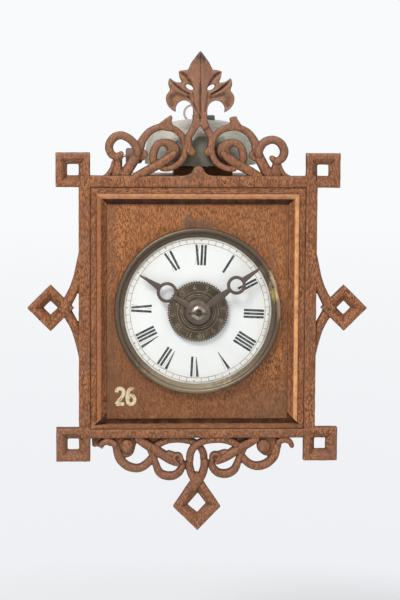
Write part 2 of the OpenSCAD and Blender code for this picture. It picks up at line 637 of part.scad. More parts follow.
plate_left = 56;
plate_right = 40;
plate_low = 48;
plate_high = escape_at[1] + escape_r + 13;
pillar_r = 3.4;
corner_in = 6;
pillar_spots = [
  [3 * corner_in - plate_left, plate_high - corner_in],
  [plate_right - corner_in, plate_high - corner_in],
  [corner_in - plate_left, corner_in - plate_low],
  [plate_right - corner_in, corner_in - plate_low]];
lever_pin_at = [-36, 30];
pin_room = 3.4;
module plate_shape() difference() {
  translate([-plate_left, -plate_low]) square([plate_left + plate_right, plate_low + plate_high]);
  for (p = [third_at, escape_at, great_at, alarm_at, hammer_at])
    translate(p) circle(pivot_r + run_gap);
}
stud_r = 1.2;
stud_front = plate_front - 8.8;
lever_t = 1.2;
lever_front = cam_front + 0.05;
module front_plate() on_clock() color(brass) {
  slab(plate_front, inner_front) difference() {
    plate_shape();
    circle(centre_r + run_gap);
    translate(anchor_at) circle(pivot_r + run_gap);
    translate(lever_pin_at) circle(pin_room);
  }
  at(minute_at) rod(stud_r, stud_front, plate_front);
  at(lever_at) rod(stud_r, lever_front - 0.3, plate_front);
}
module back_plate() on_clock() color(brass) slab(plate_back, plate_back + plate_t) difference() {
  plate_shape();
  circle(pivot_r + run_gap);
  translate(anchor_at) circle(arbor_r + run_gap);
}
module pillars() on_clock() color(brass) for (p = pillar_spots)
  at(p) turned([[0, inner_front], [pillar_r, inner_front], [pillar_r, inner_front + 4],
    [pillar_r - 1, inner_front + 6], [pillar_r - 1, plate_back - 6], [pillar_r, plate_back - 4],
    [pillar_r, plate_back], [0, plate_back]]);
module dial_feet() on_clock() color(brass) for (p = pillar_spots)
  at(p) rod(pillar_r - 0.8, -case_depth, plate_front);

// An arbor with a thinner pivot in each plate
module arbor(front_end = plate_front, back_end = plate_back + plate_t) {
  rod(arbor_r, inner_front + 0.3, plate_back - 0.3);
  rod(pivot_r, front_end + 0.1, inner_front + 1);
  rod(pivot_r, plate_back - 1, back_end - 0.1);
}
// A lantern pinion: two discs with round trundles between them
disc_w = 0.9;
module lantern(n, m, trundle_r, front, back, turn) {
  rod(n * m / 2 + trundle_r + 0.5, front, front + disc_w);
  rod(n * m / 2 + trundle_r + 0.5, back - disc_w, back);
  for (i = [0 : n - 1])
    at(polar(n * m / 2, turn + i * 360 / n)) rod(trundle_r, front + disc_w / 2, back - disc_w / 2);
}
// A crossed-out wheel: rim, hub and spokes between round-cornered windows
module wheel(points, root_r, hub_r, spokes, y, bore, rim_w = 2.2) slab(y, y + wheel_t) difference() {
  polygon(points);
  circle(bore);
  if (spokes > 0)
    difference() {
      circle(root_r - rim_w);
      circle(hub_r);
      for (i = [0 : spokes - 1])
        rotate(i * 360 / spokes) translate([0, -1]) square([root_r, 2]);
    }
}
trundle_small = 0.35;
trundle_great = 0.55;
module centre_arbor() on_clock() color(iron) difference() {
  union() {
    rod(centre_r, arbor_front, inner_front + 1);
    rod(arbor_r, inner_front + 0.3, plate_back - 0.3);
    rod(pivot_r, plate_back - 1, plate_back + plate_t - 0.1);
    lantern(great_pins, great_m, trundle_great, great_y - 1.8, great_y + wheel_t + 1.8,
      toward(great_at, [0, 0]) + 180 + 180 / great_pins);
  }
  translate([-5, pin_y, 0]) rotate([0, 90, 0]) cylinder(r = pin_r + fit_gap, h = 10);
}
module centre_wheel() on_clock() color(brass)
  wheel(teeth(centre_teeth, centre_m, toward([0, 0], third_at)), centre_teeth * centre_m / 2 - 0.8,
    6, 5, centre_y, bore_of);
module cannon_pinion() on_clock() color(iron) difference() {
  union() {
    slab(plate_front - 4.8, plate_front - 0.8)
      polygon(teeth(cannon_teeth, motion_m, toward([0, 0], minute_at)));
    rod(cannon_r, nut_back + 0.3, plate_front - 0.8);
  }
  rod(centre_r + fit_gap, nut_back - 1, plate_front + 1);
}
module minute_wheel() on_clock() color(brass) at(minute_at) difference() {
  union() {
    slab(plate_front - 3.6, plate_front - 2.4)
      polygon(teeth(minute_teeth, motion_m, toward(minute_at, [0, 0]) + 180 / minute_teeth));
    slab(plate_front - 8, plate_front - 3.4)
      polygon(teeth(minute_pinion, hour_m, toward(minute_at, [0, 0])));
  }
  rod(stud_r + run_gap, plate_front - 9, plate_front + 1);
}
hour_y = plate_front - 7.2;
module hour_wheel() on_clock() color(brass) difference() {
  union() {
    slab(hour_y, hour_y + 1.2)
      polygon(teeth(hour_teeth, hour_m, toward([0, 0], minute_at) + 180 / hour_teeth));
    rod(hour_pipe_r, hour_front - 1.6, hour_y + 1);
  }
  rod(hour_pipe_in, hour_front - 3, hour_y + 3);
}
module great_arbor() on_clock() color(iron) at(great_at) arbor();
click_at = polar(15.4, 120);
module great_wheel() on_clock() color(brass) at(great_at) {
  wheel(teeth(great_teeth, great_m, toward(great_at, [0, 0])), great_teeth * great_m / 2 - 1.1,
    6, 0, great_y, bore_of);
  at(click_at) rod(stud_r, great_y + wheel_t - hair, great_y + wheel_t + 2.2);
}
// Gap that keeps the noses of levers clear of the teeth they work on
nose_gap = 0.45;
click_t = 1.4;
click_y = great_y + wheel_t + 0.4;
ratchet_teeth = 12;
module click() on_clock() color(iron) at(great_at) difference() {
  union() {
    at(click_at) rod(2.6, click_y, click_y + click_t);
    slab(click_y, click_y + click_t) polygon([click_at + [1.2, 2.2], polar(ratchet_r + nose_gap, 84),
      polar(ratchet_r + nose_gap, 92), click_at + [-1.4, -2.1]]);
  }
  at(click_at) rod(stud_r + run_gap, click_y - 1, click_y + click_t + 1);
}
// A chain wheel with a groove and spikes
spikes = 8;
module sprocket(flange_r, ratchet, bore) {
  difference() {
    union() {
      turned([[0, sprocket_y], [flange_r, sprocket_y], [flange_r, sprocket_y + 1],
        [flange_r - 3, sprocket_y + sprocket_w / 2 - 0.8], [flange_r - 3, sprocket_y + sprocket_w / 2 + 0.8],
        [flange_r, sprocket_y + sprocket_w - 1], [flange_r, sprocket_y + sprocket_w],
        [0, sprocket_y + sprocket_w]]);
      for (i = [0 : spikes - 1])
        rotate([0, i * 360 / spikes, 0]) translate([0, sprocket_y + sprocket_w / 2, flange_r - 4])
          cylinder(r = 0.8, h = 3.4, $fn = 24);
      if (ratchet)
        slab(sprocket_y - ratchet_t, sprocket_y + hair) polygon(saw(ratchet_teeth, ratchet_r, 1.4, 0.9));
    }
    rod(bore, sprocket_y - 3, sprocket_y + sprocket_w + 1);
  }
}
module chain_sprocket() on_clock() color(brass) at(great_at)
  sprocket(sprocket_r, true, arbor_r + run_gap);
third_pinion_turn = toward(third_at, [0, 0]) + 180 / small_pins;
module third_arbor() on_clock() color(iron) at(third_at) {
  arbor();
  lantern(small_pins, centre_m, trundle_small, centre_y - 1.8, centre_y + wheel_t + 1.8, third_pinion_turn);
}
module third_wheel() on_clock() color(brass) at(third_at)
  wheel(teeth(third_teeth, third_m, toward(third_at, escape_at)), third_teeth * third_m / 2 - 0.7,
    5, 5, third_y, bore_of);
module escape_arbor() on_clock() color(iron) at(escape_at) {
  arbor();
  lantern(small_pins, third_m, trundle_small - 0.03, third_y - 1.8, third_y + wheel_t + 1.8,
    toward(escape_at, third_at) + 180 / small_pins);
}
module escape_wheel() on_clock() color(brass) at(escape_at)
  wheel(saw(escape_teeth, escape_r, 1.8, 0.8), escape_r - 1.8, 4, 4, escape_y, bore_of, 1.6);

// Anchor with two pallets just outside the escape wheel, on its arbor with the crutch behind the plate
pallet_gap = 1.3;
pallet_turn = 40;
function pallet(side, r) = escape_at - anchor_at + [side * r * sin(pallet_turn), r * cos(pallet_turn)];
anchor_front = escape_y - 0.5;
anchor_back = escape_y + wheel_t + 0.5;
anchor_hub = 3;
module anchor() on_clock() color(iron) at(anchor_at) difference() {
  union() {
    rod(anchor_hub, anchor_front, anchor_back);
    slab(anchor_front, anchor_back) polygon(ribbon(curve([concat(pallet(-1, escape_r + pallet_gap), [1.6]),
      [-11, -2.6, 2.6], [-6, 0.6, 2.8], [0, 1.2, 3], [6, 0.6, 2.8], [11, -2.6, 2.6],
      concat(pallet(1, escape_r + pallet_gap), [1.6])])));
  }
  rod(bore_of, anchor_front - 1, anchor_back + 1);
}
crutch_len = 56;
crutch_y = plate_back + plate_t + 2;
fork_gap = 4;
module anchor_arbor() on_clock() color(iron) at(anchor_at) {
  rod(arbor_r, inner_front + 0.3, crutch_y + 1.6);
  rod(pivot_r, plate_front + 0.1, inner_front + 1);
  translate([0, crutch_y + 0.8, -crutch_len]) cylinder(r = 0.8, h = crutch_len);
  translate([-fork_gap / 2 - 1.2, crutch_y, -crutch_len - 1]) cube([fork_gap + 2.4, 1.6, 2]);
  for (side = [-1, 1])
    translate([side * (fork_gap / 2 + 0.6) - 0.6, crutch_y, -crutch_len - 1]) cube([1.2, back_room * 0.4, 2]);
}
cock_y = plate_back + plate_t;
cock_z = anchor_at[1] + arbor_r + 1.6;
cock_w = 16;
cock_arm_w = 6;
cock_reach = back_room * 0.6;
cock_slit = 0.6;
module suspension_cock() on_clock() color(brass) difference() {
  union() {
    translate([-cock_w / 2, cock_y, cock_z]) cube([cock_w, plate_t, plate_high - cock_z]);
    translate([-cock_arm_w / 2, cock_y, cock_z]) cube([cock_arm_w, cock_reach, 4]);
  }
  translate([-cock_slit / 2, cock_y + cock_reach / 2, cock_z - 1]) cube([cock_slit, cock_reach, 6]);
}

// Alarm work
module alarm_arbor() on_clock() color(iron) at(alarm_at) arbor();
alarm_teeth = 15;
module alarm_wheel() on_clock() color(brass) at(alarm_at)
  wheel(saw(alarm_teeth, alarm_wheel_r, 3, 0.85), alarm_wheel_r - 3, 4, 4, alarm_y, bore_of, 1.8);
alarm_sprocket_r = sprocket_r - 1.5;
module alarm_sprocket() on_clock() color(brass) at(alarm_at) sprocket(alarm_sprocket_r, false, bore_of);
hammer_span = norm(hammer_at - alarm_at);
module hammer_arbor() on_clock() color(iron) at(hammer_at) {
  arbor();
  slab(alarm_y - 0.6, alarm_y + wheel_t + 0.6) rotate(toward(hammer_at, alarm_at))
    polygon(ribbon([[-1, 0, 6], [3, 0, 5], [hammer_span - alarm_wheel_r - nose_gap, 0, 1.6]]));
}
bell_r = bell_share * case_depth;
bell_behind = bell_back_share * case_depth;
hammer_y = bell_behind - case_depth;
hammer_z = bell_lip_z + hammer_up;
head_right = bell_x - bell_r + 0.1 - hammer_gap;
head_left = head_right - hammer_len;
bend_r = 3;
wire_x = head_left - bend_r - 0.4;
wire_in_head = 6;
// A quarter bend of the wire, from the angle from, about the point p
module wire_bend(p, from) translate([p[0], hammer_y, p[1]]) rotate([90, 0, 0]) rotate([0, 0, from])
  rotate_extrude(angle = 90) translate([bend_r, 0]) circle(wire_r, $fn = 32);
module wire_across(x0, x1, z) translate([x0, hammer_y, z]) rotate([0, 90, 0])
  cylinder(r = wire_r, h = x1 - x0, $fn = 32);
wire_hub_r = arbor_r + 1.6;
module hammer_wire() on_clock() color(iron) {
  difference() {
    union() {
      at(hammer_at) rod(wire_hub_r, hammer_y - 2, hammer_y + 2);
      wire_across(wire_x + bend_r, hammer_at[0] - arbor_r, hammer_at[1]);
    }
    at(hammer_at) rod(bore_of, hammer_y - 3, hammer_y + 3);
  }
  wire_bend([wire_x + bend_r, hammer_at[1] + bend_r], 180);
  translate([wire_x, hammer_y, hammer_at[1] + bend_r])
    cylinder(r = wire_r, h = hammer_z - hammer_at[1] - 2 * bend_r, $fn = 32);
  wire_bend([wire_x + bend_r, hammer_z - bend_r], 90);
  wire_across(wire_x + bend_r, head_left + wire_in_head - 0.5, hammer_z);
}
module hammer_head() on_clock() color(iron) translate([head_left, hammer_y, hammer_z]) rotate([0, 90, 0])
  rotate_extrude() polygon([[wire_r + fit_gap, 0], [hammer_r - 1.2, 0], [hammer_r, 1],
    [hammer_r, hammer_len - 1.4], [hammer_r - 1.4, hammer_len - 0.3], [0, hammer_len], [0, wire_in_head],
    [wire_r + fit_gap, wire_in_head]]);
lever_bend = [-2.2, 14.4];
module release_lever() on_clock() color(brass) {
  slab(lever_front, lever_front + lever_t) difference() {
    union() {
      translate(lever_at) circle(3);
      polygon(ribbon([concat(lever_at, [4]), concat(lever_bend, [2.6])]));
      polygon(ribbon([concat(lever_bend + [0, 1.2], [2.4]), [lever_bend[0], cam_r + 0.6, 1.4]]));
      polygon(ribbon([concat(lever_at, [4]), concat(lever_pin_at, [2.8])]));
      translate(lever_pin_at) circle(1.8);
    }
    translate(lever_at) circle(stud_r + run_gap);
  }
  at(lever_pin_at) rod(0.8, lever_front + lever_t / 2, alarm_y - 1);
}

// Bell with its post, nut and wooden block
bell_at = [bell_x, bell_behind - case_depth];
bell_steps = 12;
bell_end = 80;
function bell_wall(r, h) = [for (i = [0 : bell_steps]) let (t = bell_end * i / bell_steps)
  [r * pow(cos(t), 0.86), h * pow(sin(t) / sin(bell_end), 0.55)]];
bell_bore = post_r + run_gap;
module bell() on_clock() color(silver) translate([bell_at[0], bell_at[1], bell_lip_z]) difference() {
  rotate_extrude($fn = 96) polygon(concat(
    bell_wall(bell_r, bell_h), [[0, bell_h], [0, bell_h - bell_t]],
    backward(bell_wall(bell_r - bell_t, bell_h - bell_t))));
  cylinder(r = bell_bore, h = 2 * bell_h);
}
block_top = top_z + case_t + block_h;
collar_h = 2.4;
collar_z = bell_lip_z + bell_h - bell_t - collar_h;
module bell_post() on_clock() color(iron) translate([bell_at[0], bell_at[1], 0]) {
  translate([0, 0, top_z + 1]) cylinder(r = post_r, h = bell_lip_z + bell_h + bell_nut_t + 2.5 - top_z - 1);
  translate([0, 0, collar_z]) cylinder(r = post_r + 3.6, h = collar_h);
  translate([0, 0, block_top]) cylinder(r = post_r + 3, h = 2);
}
module bell_nut() on_clock() color(iron)
  translate([bell_at[0], bell_at[1], bell_lip_z + bell_h]) difference() {
  translate([bell_nut_off - bell_nut_w / 2, -bell_nut_w / 2, 0]) cube([bell_nut_w, bell_nut_w, bell_nut_t]);
  translate([0, 0, -1]) cylinder(r = post_r + fit_gap, h = bell_nut_t + 2);
}
block_left = -17;
block_right = 28;
block_d = 27;
module bell_block() on_clock() color(dark_wood) difference() {
  translate([block_left, bell_at[1] - block_d / 2, top_z + case_t])
    cube([block_right - block_left, block_d, block_h]);
  translate([bell_at[0], bell_at[1], top_z + case_t - 1]) cylinder(r = post_r + fit_gap, h = block_h + 2);
}

// Case
back_y = -case_t;
case_w = 2 * case_half_w;
module deck(z) translate([-case_half_w, -case_depth, z]) cube([case_w, case_depth - case_t, case_t]);
hinge_y = back_y - post_w - door_gap - door_t / 2;
hinge_x = case_half_w - door_t / 2;
pin_in = 4;
pin_low = 10;
slot_half = 6;
module hinge_holes(z, r) for (side = [-1, 1])
  translate([side * hinge_x, hinge_y, z]) cylinder(r = r, h = pin_in);
module top_board() on_clock() color(dark_wood) difference() {
  deck(top_z);
  hinge_holes(top_z - hair, hinge_r + fit_gap);
  translate([bell_at[0], bell_at[1], top_z - 1]) cylinder(r = post_r + fit_gap, h = case_t + 2);
  translate([wire_x - slot_half, hammer_y - wire_r - 1.6, top_z - 1])
    cube([2 * slot_half, 2 * wire_r + 3.2, case_t + 2]);
}
sprocket_mid = sprocket_y + sprocket_w / 2;
chain_slot = 9;
module chain_hole(p, r) translate([p[0] - r - 3, sprocket_mid - chain_slot / 2, -floor_z - case_t - 1])
  cube([2 * r + 6, chain_slot, case_t + 2]);
pendulum_half = 14;
pendulum_slot = back_room / 2;
module bottom_board() on_clock() color(dark_wood) difference() {
  deck(-floor_z - case_t);
  hinge_holes(-floor_z - pin_in + hair, hinge_r + fit_gap);
  chain_hole(great_at, sprocket_r);
  chain_hole(alarm_at, alarm_sprocket_r);
  translate([-pendulum_half, cock_y + 2, -floor_z - case_t - 1])
    cube([2 * pendulum_half, pendulum_slot, case_t + 2]);
}
screw_r = 1.5;
catch_y = -case_depth + post_w / 2;
catch_z = 6;
catch_t = 2.2;
module corner_posts() on_clock() color(dark_wood) difference() {
  for (side = [-1, 1], y = [-case_depth, back_y - post_w])
    translate([side > 0 ? case_half_w - post_w : -case_half_w, y, -floor_z])
      cube([post_w, post_w, top_z + floor_z]);
  for (side = [-1, 1])
    translate([side > 0 ? case_half_w - post_w + 2 : -case_half_w - 1, catch_y, catch_z]) rotate([0, 90, 0])
      cylinder(r = screw_r + run_gap, h = post_w - 1);
}
eye_tongue_w = 11;
tongue_low = top_z - 34;
module eye_outline(grow) {
  circle(eye_r + grow);
  translate([-eye_tongue_w / 2 - grow, tongue_low - dial_drop - grow])
    square([eye_tongue_w + 2 * grow, dial_drop - tongue_low]);
}
module hanger_eye() color(iron) slab(-eye_t, 0) difference() {
  eye_outline(0);
  circle(eye_hole_r);
}
module back_board() color(dark_wood) difference() {
  on_clock() translate([-case_half_w, back_y, -floor_z - case_t])
    cube([case_w, case_t, top_z + floor_z + 2 * case_t]);
  slab(-eye_t - fit_gap, 1) eye_outline(fit_gap);
}
door_front = -case_depth + post_w + door_gap;
door_low = -floor_z + door_gap;
door_high = top_z - door_gap;
field_in = 9;
field_deep = 1;
module door(side) difference() {
  union() {
    translate([side > 0 ? hinge_x - door_t / 2 : -hinge_x - door_t / 2, door_front, door_low])
      cube([door_t, hinge_y - door_front, door_high - door_low]);
    translate([side * hinge_x, hinge_y, door_low]) cylinder(r = door_t / 2, h = door_high - door_low);
  }
  for (z = [door_low - 1, door_high - pin_low])
    translate([side * hinge_x, hinge_y, z]) cylinder(r = hinge_r + run_gap, h = pin_low + 1);
  translate([side > 0 ? case_half_w - field_deep : -case_half_w - 1, door_front + field_in,
      door_low + field_in])
    cube([field_deep + 1, hinge_y - door_front - 2 * field_in, door_high - door_low - 2 * field_in]);
}
module left_door() on_clock() color(dark_wood) door(-1);
module right_door() on_clock() color(dark_wood) door(1);
module hinge_pins() on_clock() color(iron) for (side = [-1, 1]) {
  translate([side * hinge_x, hinge_y, door_high - pin_low + 0.5])
    cylinder(r = hinge_r, h = pin_low + door_gap + pin_in - 1);
  translate([side * hinge_x, hinge_y, -floor_z - pin_in + 0.5])
    cylinder(r = hinge_r, h = pin_low + door_gap + pin_in - 1);
}
screw_len = post_w - 3;
catch_reach = 11;
catch_w = 4.4;
module catch_piece(side) mirror([side > 0 ? 0 : 1, 0, 0]) translate([case_half_w + 0.3, catch_y, catch_z]) {
  rotate([0, 90, 0]) cylinder(r = 3.4, h = catch_t);
  translate([0, -catch_w / 2, -catch_reach]) cube([catch_t, catch_w, catch_reach]);
  translate([-screw_len, 0, 0]) rotate([0, 90, 0]) cylinder(r = screw_r, h = screw_len + catch_t);
  translate([catch_t - hair, 0, 0]) rotate([0, 90, 0]) cylinder(r = 2.6, h = 0.9);
}
module left_catch() on_clock() color(brass) catch_piece(-1);
module right_catch() on_clock() color(brass) catch_piece(1);

crest_board();
apron_board();
left_stile();
right_stile();
top_moulding();
bottom_moulding();
left_moulding();
right_moulding();
front_board();
dial_panel();
enamel_dial();
bezel();
minute_hand();
hour_hand();
hand_nut();
taper_pin();
alarm_disc();
alarm_pipe();
alarm_cam();
cannon_pinion();
hour_wheel();
minute_wheel();
front_plate();
back_plate();
pillars();
dial_feet();
centre_arbor();
centre_wheel();
great_arbor();
great_wheel();
chain_sprocket();
click();
third_arbor();
third_wheel();
escape_arbor();
escape_wheel();
anchor();
anchor_arbor();
suspension_cock();
alarm_arbor();
alarm_wheel();
alarm_sprocket();
hammer_arbor();
hammer_wire();
hammer_head();
release_lever();
bell();
bell_post();
bell_nut();
bell_block();
top_board();
bottom_board();
corner_posts();
back_board();
left_door();
right_door();
hinge_pins();
left_catch();
right_catch();
hanger_eye();
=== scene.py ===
import json
import math
import bpy
import bmesh
import numpy as np
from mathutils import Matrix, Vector, noise

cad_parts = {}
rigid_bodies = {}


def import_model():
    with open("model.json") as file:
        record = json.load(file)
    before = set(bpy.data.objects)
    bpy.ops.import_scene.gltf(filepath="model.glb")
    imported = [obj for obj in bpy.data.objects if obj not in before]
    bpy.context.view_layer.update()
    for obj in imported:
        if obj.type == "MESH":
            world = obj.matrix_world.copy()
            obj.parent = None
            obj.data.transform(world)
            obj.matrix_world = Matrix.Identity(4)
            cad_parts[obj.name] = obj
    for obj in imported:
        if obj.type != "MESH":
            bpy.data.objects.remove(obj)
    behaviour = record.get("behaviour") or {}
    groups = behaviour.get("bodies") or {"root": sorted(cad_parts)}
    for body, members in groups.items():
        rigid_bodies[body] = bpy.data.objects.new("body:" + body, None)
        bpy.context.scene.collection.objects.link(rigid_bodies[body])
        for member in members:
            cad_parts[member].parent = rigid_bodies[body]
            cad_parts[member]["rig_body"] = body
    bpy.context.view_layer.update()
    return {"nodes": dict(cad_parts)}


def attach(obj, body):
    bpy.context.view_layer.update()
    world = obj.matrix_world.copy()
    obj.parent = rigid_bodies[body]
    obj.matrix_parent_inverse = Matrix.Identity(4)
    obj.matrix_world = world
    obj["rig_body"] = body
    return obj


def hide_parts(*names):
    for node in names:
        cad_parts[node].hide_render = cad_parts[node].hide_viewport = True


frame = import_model()

# Sizes are millimetres where nothing else is said. Heights are measured from the middle of the dial, and
# depths from the wall, with the front below zero.
MM = 0.001
DIAL_Z = -146.0  # height of the dial's middle in the shared frame
FRET_FRONT = -105.5
FRET_BACK = -97.5
PANEL_FACE = -100.0
UNDER = 1.6  # one layer, where carved bars cross
RAIL_TOP = 101.6
RAIL_LOW = -97.2
MOULD_LOW = -89.6
BAR_W = 8.6
FRAME_X = 89.3  # half of the frame's width
RING_HOLE = 8.5
SIDE_Z = 2.3
SIDE_OUT = 21.1
SIDE_HALF = 17.5
SIDE_HOLE = 5.3
CREST_LEAN = 1.1  # the finial stands this much to the right
DIAL_TURN = 2.8  # degrees by which the dial is turned


def place(x, y, z):
    """A point of the shared frame, in metres."""
    return Vector((x * MM, y * MM, (z + DIAL_Z) * MM))


def unit(x, z):
    """A direction of length one."""
    size = math.hypot(x, z) or 1.0
    return x / size, z / size


def span(a, b):
    return math.hypot(b[0] - a[0], b[1] - a[1])


def heading(path, i):
    """The direction of a path at its point i."""
    a, b = path[max(i - 1, 0)], path[min(i + 1, len(path) - 1)]
    return unit(b[0] - a[0], b[1] - a[1])


def ramp(value, low, high):
    """Rises from 0 at low to 1 at high."""
    return np.clip((value - low) / (high - low), 0, 1)


def soft_ramp(value, low, high):
    """A ramp that starts and ends softly."""
    t = ramp(value, low, high)
    return t * t * (3 - 2 * t)


def smooth_path(points, steps=8):
    """A smooth curve through the points."""
    last = len(points) - 1
    path = []
    for i in range(last):
        a, b = points[max(i - 1, 0)], points[i]
        c, d = points[i + 1], points[min(i + 2, last)]
        for k in range(steps):
            t = k / steps
            path.append([0.5 * (2 * q + (r - p) * t + (2 * p - 5 * q + 4 * r - s) * t * t
                                + (3 * q - p - 3 * r + s) * t ** 3)
                         for p, q, r, s in zip(a, b, c, d)])
    path.append(list(points[last]))
    return path


# Meshes

def tube(rings, closed=False):
    """Points and faces of a solid that runs through equal rings of points."""
    n = len(rings[0])
    count = len(rings)
    faces = []
    for i in range(count if closed else count - 1):
        j = (i + 1) % count
        for k in range(n):
            m = (k + 1) % n
            faces.append((i * n + k, i * n + m, j * n + m, j * n + k))
    if not closed:
        faces.append(tuple(range(n)))
        faces.append(tuple((count - 1) * n + k for k in reversed(range(n))))
    return [p for ring in rings for p in ring], faces


def mesh_of(name, solids):
    """One mesh out of (points, faces) solids."""
    points, faces = [], []
    for solid_points, solid_faces in solids:
        start = len(points)
        points += [place(*p) for p in solid_points]
        faces += [tuple(start + k for k in face) for face in solid_faces]
    mesh = bpy.data.meshes.new(name)
    mesh.from_pydata(points, [], faces)
    work = bmesh.new()
    work.from_mesh(mesh)
    bmesh.ops.recalc_face_normals(work, faces=work.faces)
    work.to_mesh(mesh)
    work.free()
    return mesh


def add_object(name, data):
    thing = bpy.data.objects.new(name, data)
    bpy.context.scene.collection.objects.link(thing)
    return thing


def smooth_by_angle(mesh, degrees):
    mesh.shade_smooth()
    mesh.set_sharp_from_angle(angle=math.radians(degrees))


def settle(thing, material, body, replaced=()):
    """Gives a piece its finish and its body, and hides the nodes that it stands for."""
    thing.data.materials.clear()
    thing.data.materials.append(material)
    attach(thing, body)
    if replaced:
        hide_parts(*replaced)


def add_piece(name, solids, material, replaced=(), body="root", smooth=None):
    """A finished piece out of (points, faces) solids."""
    mesh = mesh_of(name, solids)
    if smooth:
        smooth_by_angle(mesh, smooth)
    settle(add_object(name, mesh), material, body, replaced)


def evaluated(thing):
    """The mesh of an object with its modifiers worked in; the object itself goes."""
    depsgraph = bpy.context.evaluated_depsgraph_get()
    depsgraph.update()
    mesh = bpy.data.meshes.new_from_object(thing.evaluated_get(depsgraph))
    bpy.data.objects.remove(thing)
    return mesh


def grown_together(name, solids, cell, rubs, cutters=()):
    """Joins overlapping solids into one skin of small cells, and rubs it smooth."""
    blank = add_object(name, mesh_of(name, solids))
    holes = []
    for k, cutter in enumerate(cutters):
        hole = add_object(f"{name}_cut_{k}", mesh_of(f"{name}_cut_{k}", [cutter]))
        cut = blank.modifiers.new("cut", "BOOLEAN")
        cut.operation = "DIFFERENCE"
        cut.object = hole
        holes.append(hole)
    skin = blank.modifiers.new("skin", "REMESH")
    skin.mode = "VOXEL"
    skin.voxel_size = cell * MM
    rub = blank.modifiers.new("rub", "SMOOTH")
    rub.factor = 0.5
    rub.iterations = rubs
    mesh = evaluated(blank)
    for hole in holes:
        bpy.data.objects.remove(hole)
    return mesh


def read_vertices(mesh, what, kind=np.float32):
    """Places ("co") or normals ("normal") of a mesh, one row for each vertex."""
    values = np.empty(len(mesh.vertices) * 3, kind)
    mesh.vertices.foreach_get(what, values)
    return values.reshape(-1, 3)


KNIFE_CUTS = ((0.16, 190), (0.05, 900))  # height of the unevenness, and how close it is per metre


def knife_marks(mesh):
    """Small unevenness of hand carving, along each point's normal."""
    places = read_vertices(mesh, "co")
    push = np.array([sum(height * noise.noise(Vector(p) * close) for height, close in KNIFE_CUTS)
                     for p in places], np.float32)
    places += read_vertices(mesh, "normal") * (push * MM)[:, None]
    mesh.vertices.foreach_set("co", places.ravel())
    mesh.update()


# Shapes of the carved front

CARVED_CELL = 0.42
FINIAL_CELL = 0.4
BELLY_STEPS = 14
BELLY_SHARE = 0.44  # depth of a bar's round belly, as a share of its width
BELLY_MOST = 3.3
BACK_EDGE = 0.6
THINNEST = 0.35
ROUND_END = 0.16  # what is left of a bar's width at its very tip


def bar(points, face, belly=None, flat=2.0, rounded=True):
    """A carved bar along [x, z, width] points: a round belly in front, flat behind."""
    path = smooth_path(points)
    run = [0.0]
    for a, b in zip(path, path[1:]):
        run.append(run[-1] + span(a, b))
    rings = []
    for i, (x, z, w) in enumerate(path):
        hx, hz = heading(path, i)
        full = max(w / 2, THINNEST)
        half = full
        near = min(run[i], run[-1] - run[i])
        if rounded and near < full:
            half = full * max(math.sqrt(max(1 - (1 - near / full) ** 2, 0)), ROUND_END)
        depth = belly or min(BELLY_SHARE * w, BELLY_MOST)
        top = face + (1 - half / full) * depth * 0.8
        ring = []
        for k in range(BELLY_STEPS + 1):
            s = -math.cos(math.pi * k / BELLY_STEPS)
            y = top + depth * (1 - (1 - abs(s) ** flat) ** (1 / flat)) * (half / full) ** 0.5
            ring.append((x - hz * half * s, min(y, FRET_BACK - BACK_EDGE), z + hx * half * s))
        ring.append((x - hz * half, FRET_BACK, z + hx * half))
        ring.append((x + hz * half, FRET_BACK, z - hx * half))
        rings.append(ring)
    return tube(rings)


# Section of a pierced square: (share of the way from its outer to its inner edge, depth); None is its back
RIM = [(0, None), (0, 1.5), (0.03, 0.8), (0.08, 0.3), (0.15, 0.06), (0.24, 0),
       (0.44, 0.02), (0.5, 0.22), (0.62, 1.1), (0.8, 2.6), (0.94, 3.9), (1, 4.7), (1, None)]


def pierced_square(outer, inner, face):
    """A four-sided ring between two outlines: soft outer edges, and a slope into the hole."""
    rings = []
    for (ox, oz), (ix, iz) in zip(outer, inner):
        rings.append([(ox + (ix - ox) * t, FRET_BACK if d is None else face + d, oz + (iz - oz) * t)
                      for t, d in RIM])
    return tube(rings, closed=True)


# Softened edge of a block: (inset, depth) as shares of its softness; None is its back
SOFT_EDGE = ((0, None), (0, 1), (0.2, 0.42), (0.55, 0.1), (1, 0))


def block(outline, face, soft=1.7, steps=4):
    """A flat carved block with softened front edges, from its outline."""
    path = smooth_path([*outline, outline[0]], steps)[:-1] if steps else outline
    cx, cz = (sum(p[axis] for p in path) / len(path) for axis in (0, 1))
    reach = sum(span((cx, cz), p) for p in path) / len(path)
    rings = []
    for inset, depth in SOFT_EDGE:
        k = max(1 - inset * soft / reach, 0.3)
        y = FRET_BACK if depth is None else face + depth * soft
        rings.append([(cx + (p[0] - cx) * k, y, cz + (p[1] - cz) * k) for p in path])
    return tube(rings)


def crest(side, points):
    """Points above the top rail; the left outer scroll was carved a little larger."""
    out = []
    for p in points:
        grown = ramp(p[0], 42, 56) if side < 0 else 0
        out.append([side * (p[0] + 2.4 * grown), RAIL_TOP + p[1] + 3 * grown * min(p[1] / 12, 1), *p[2:]])
    return out


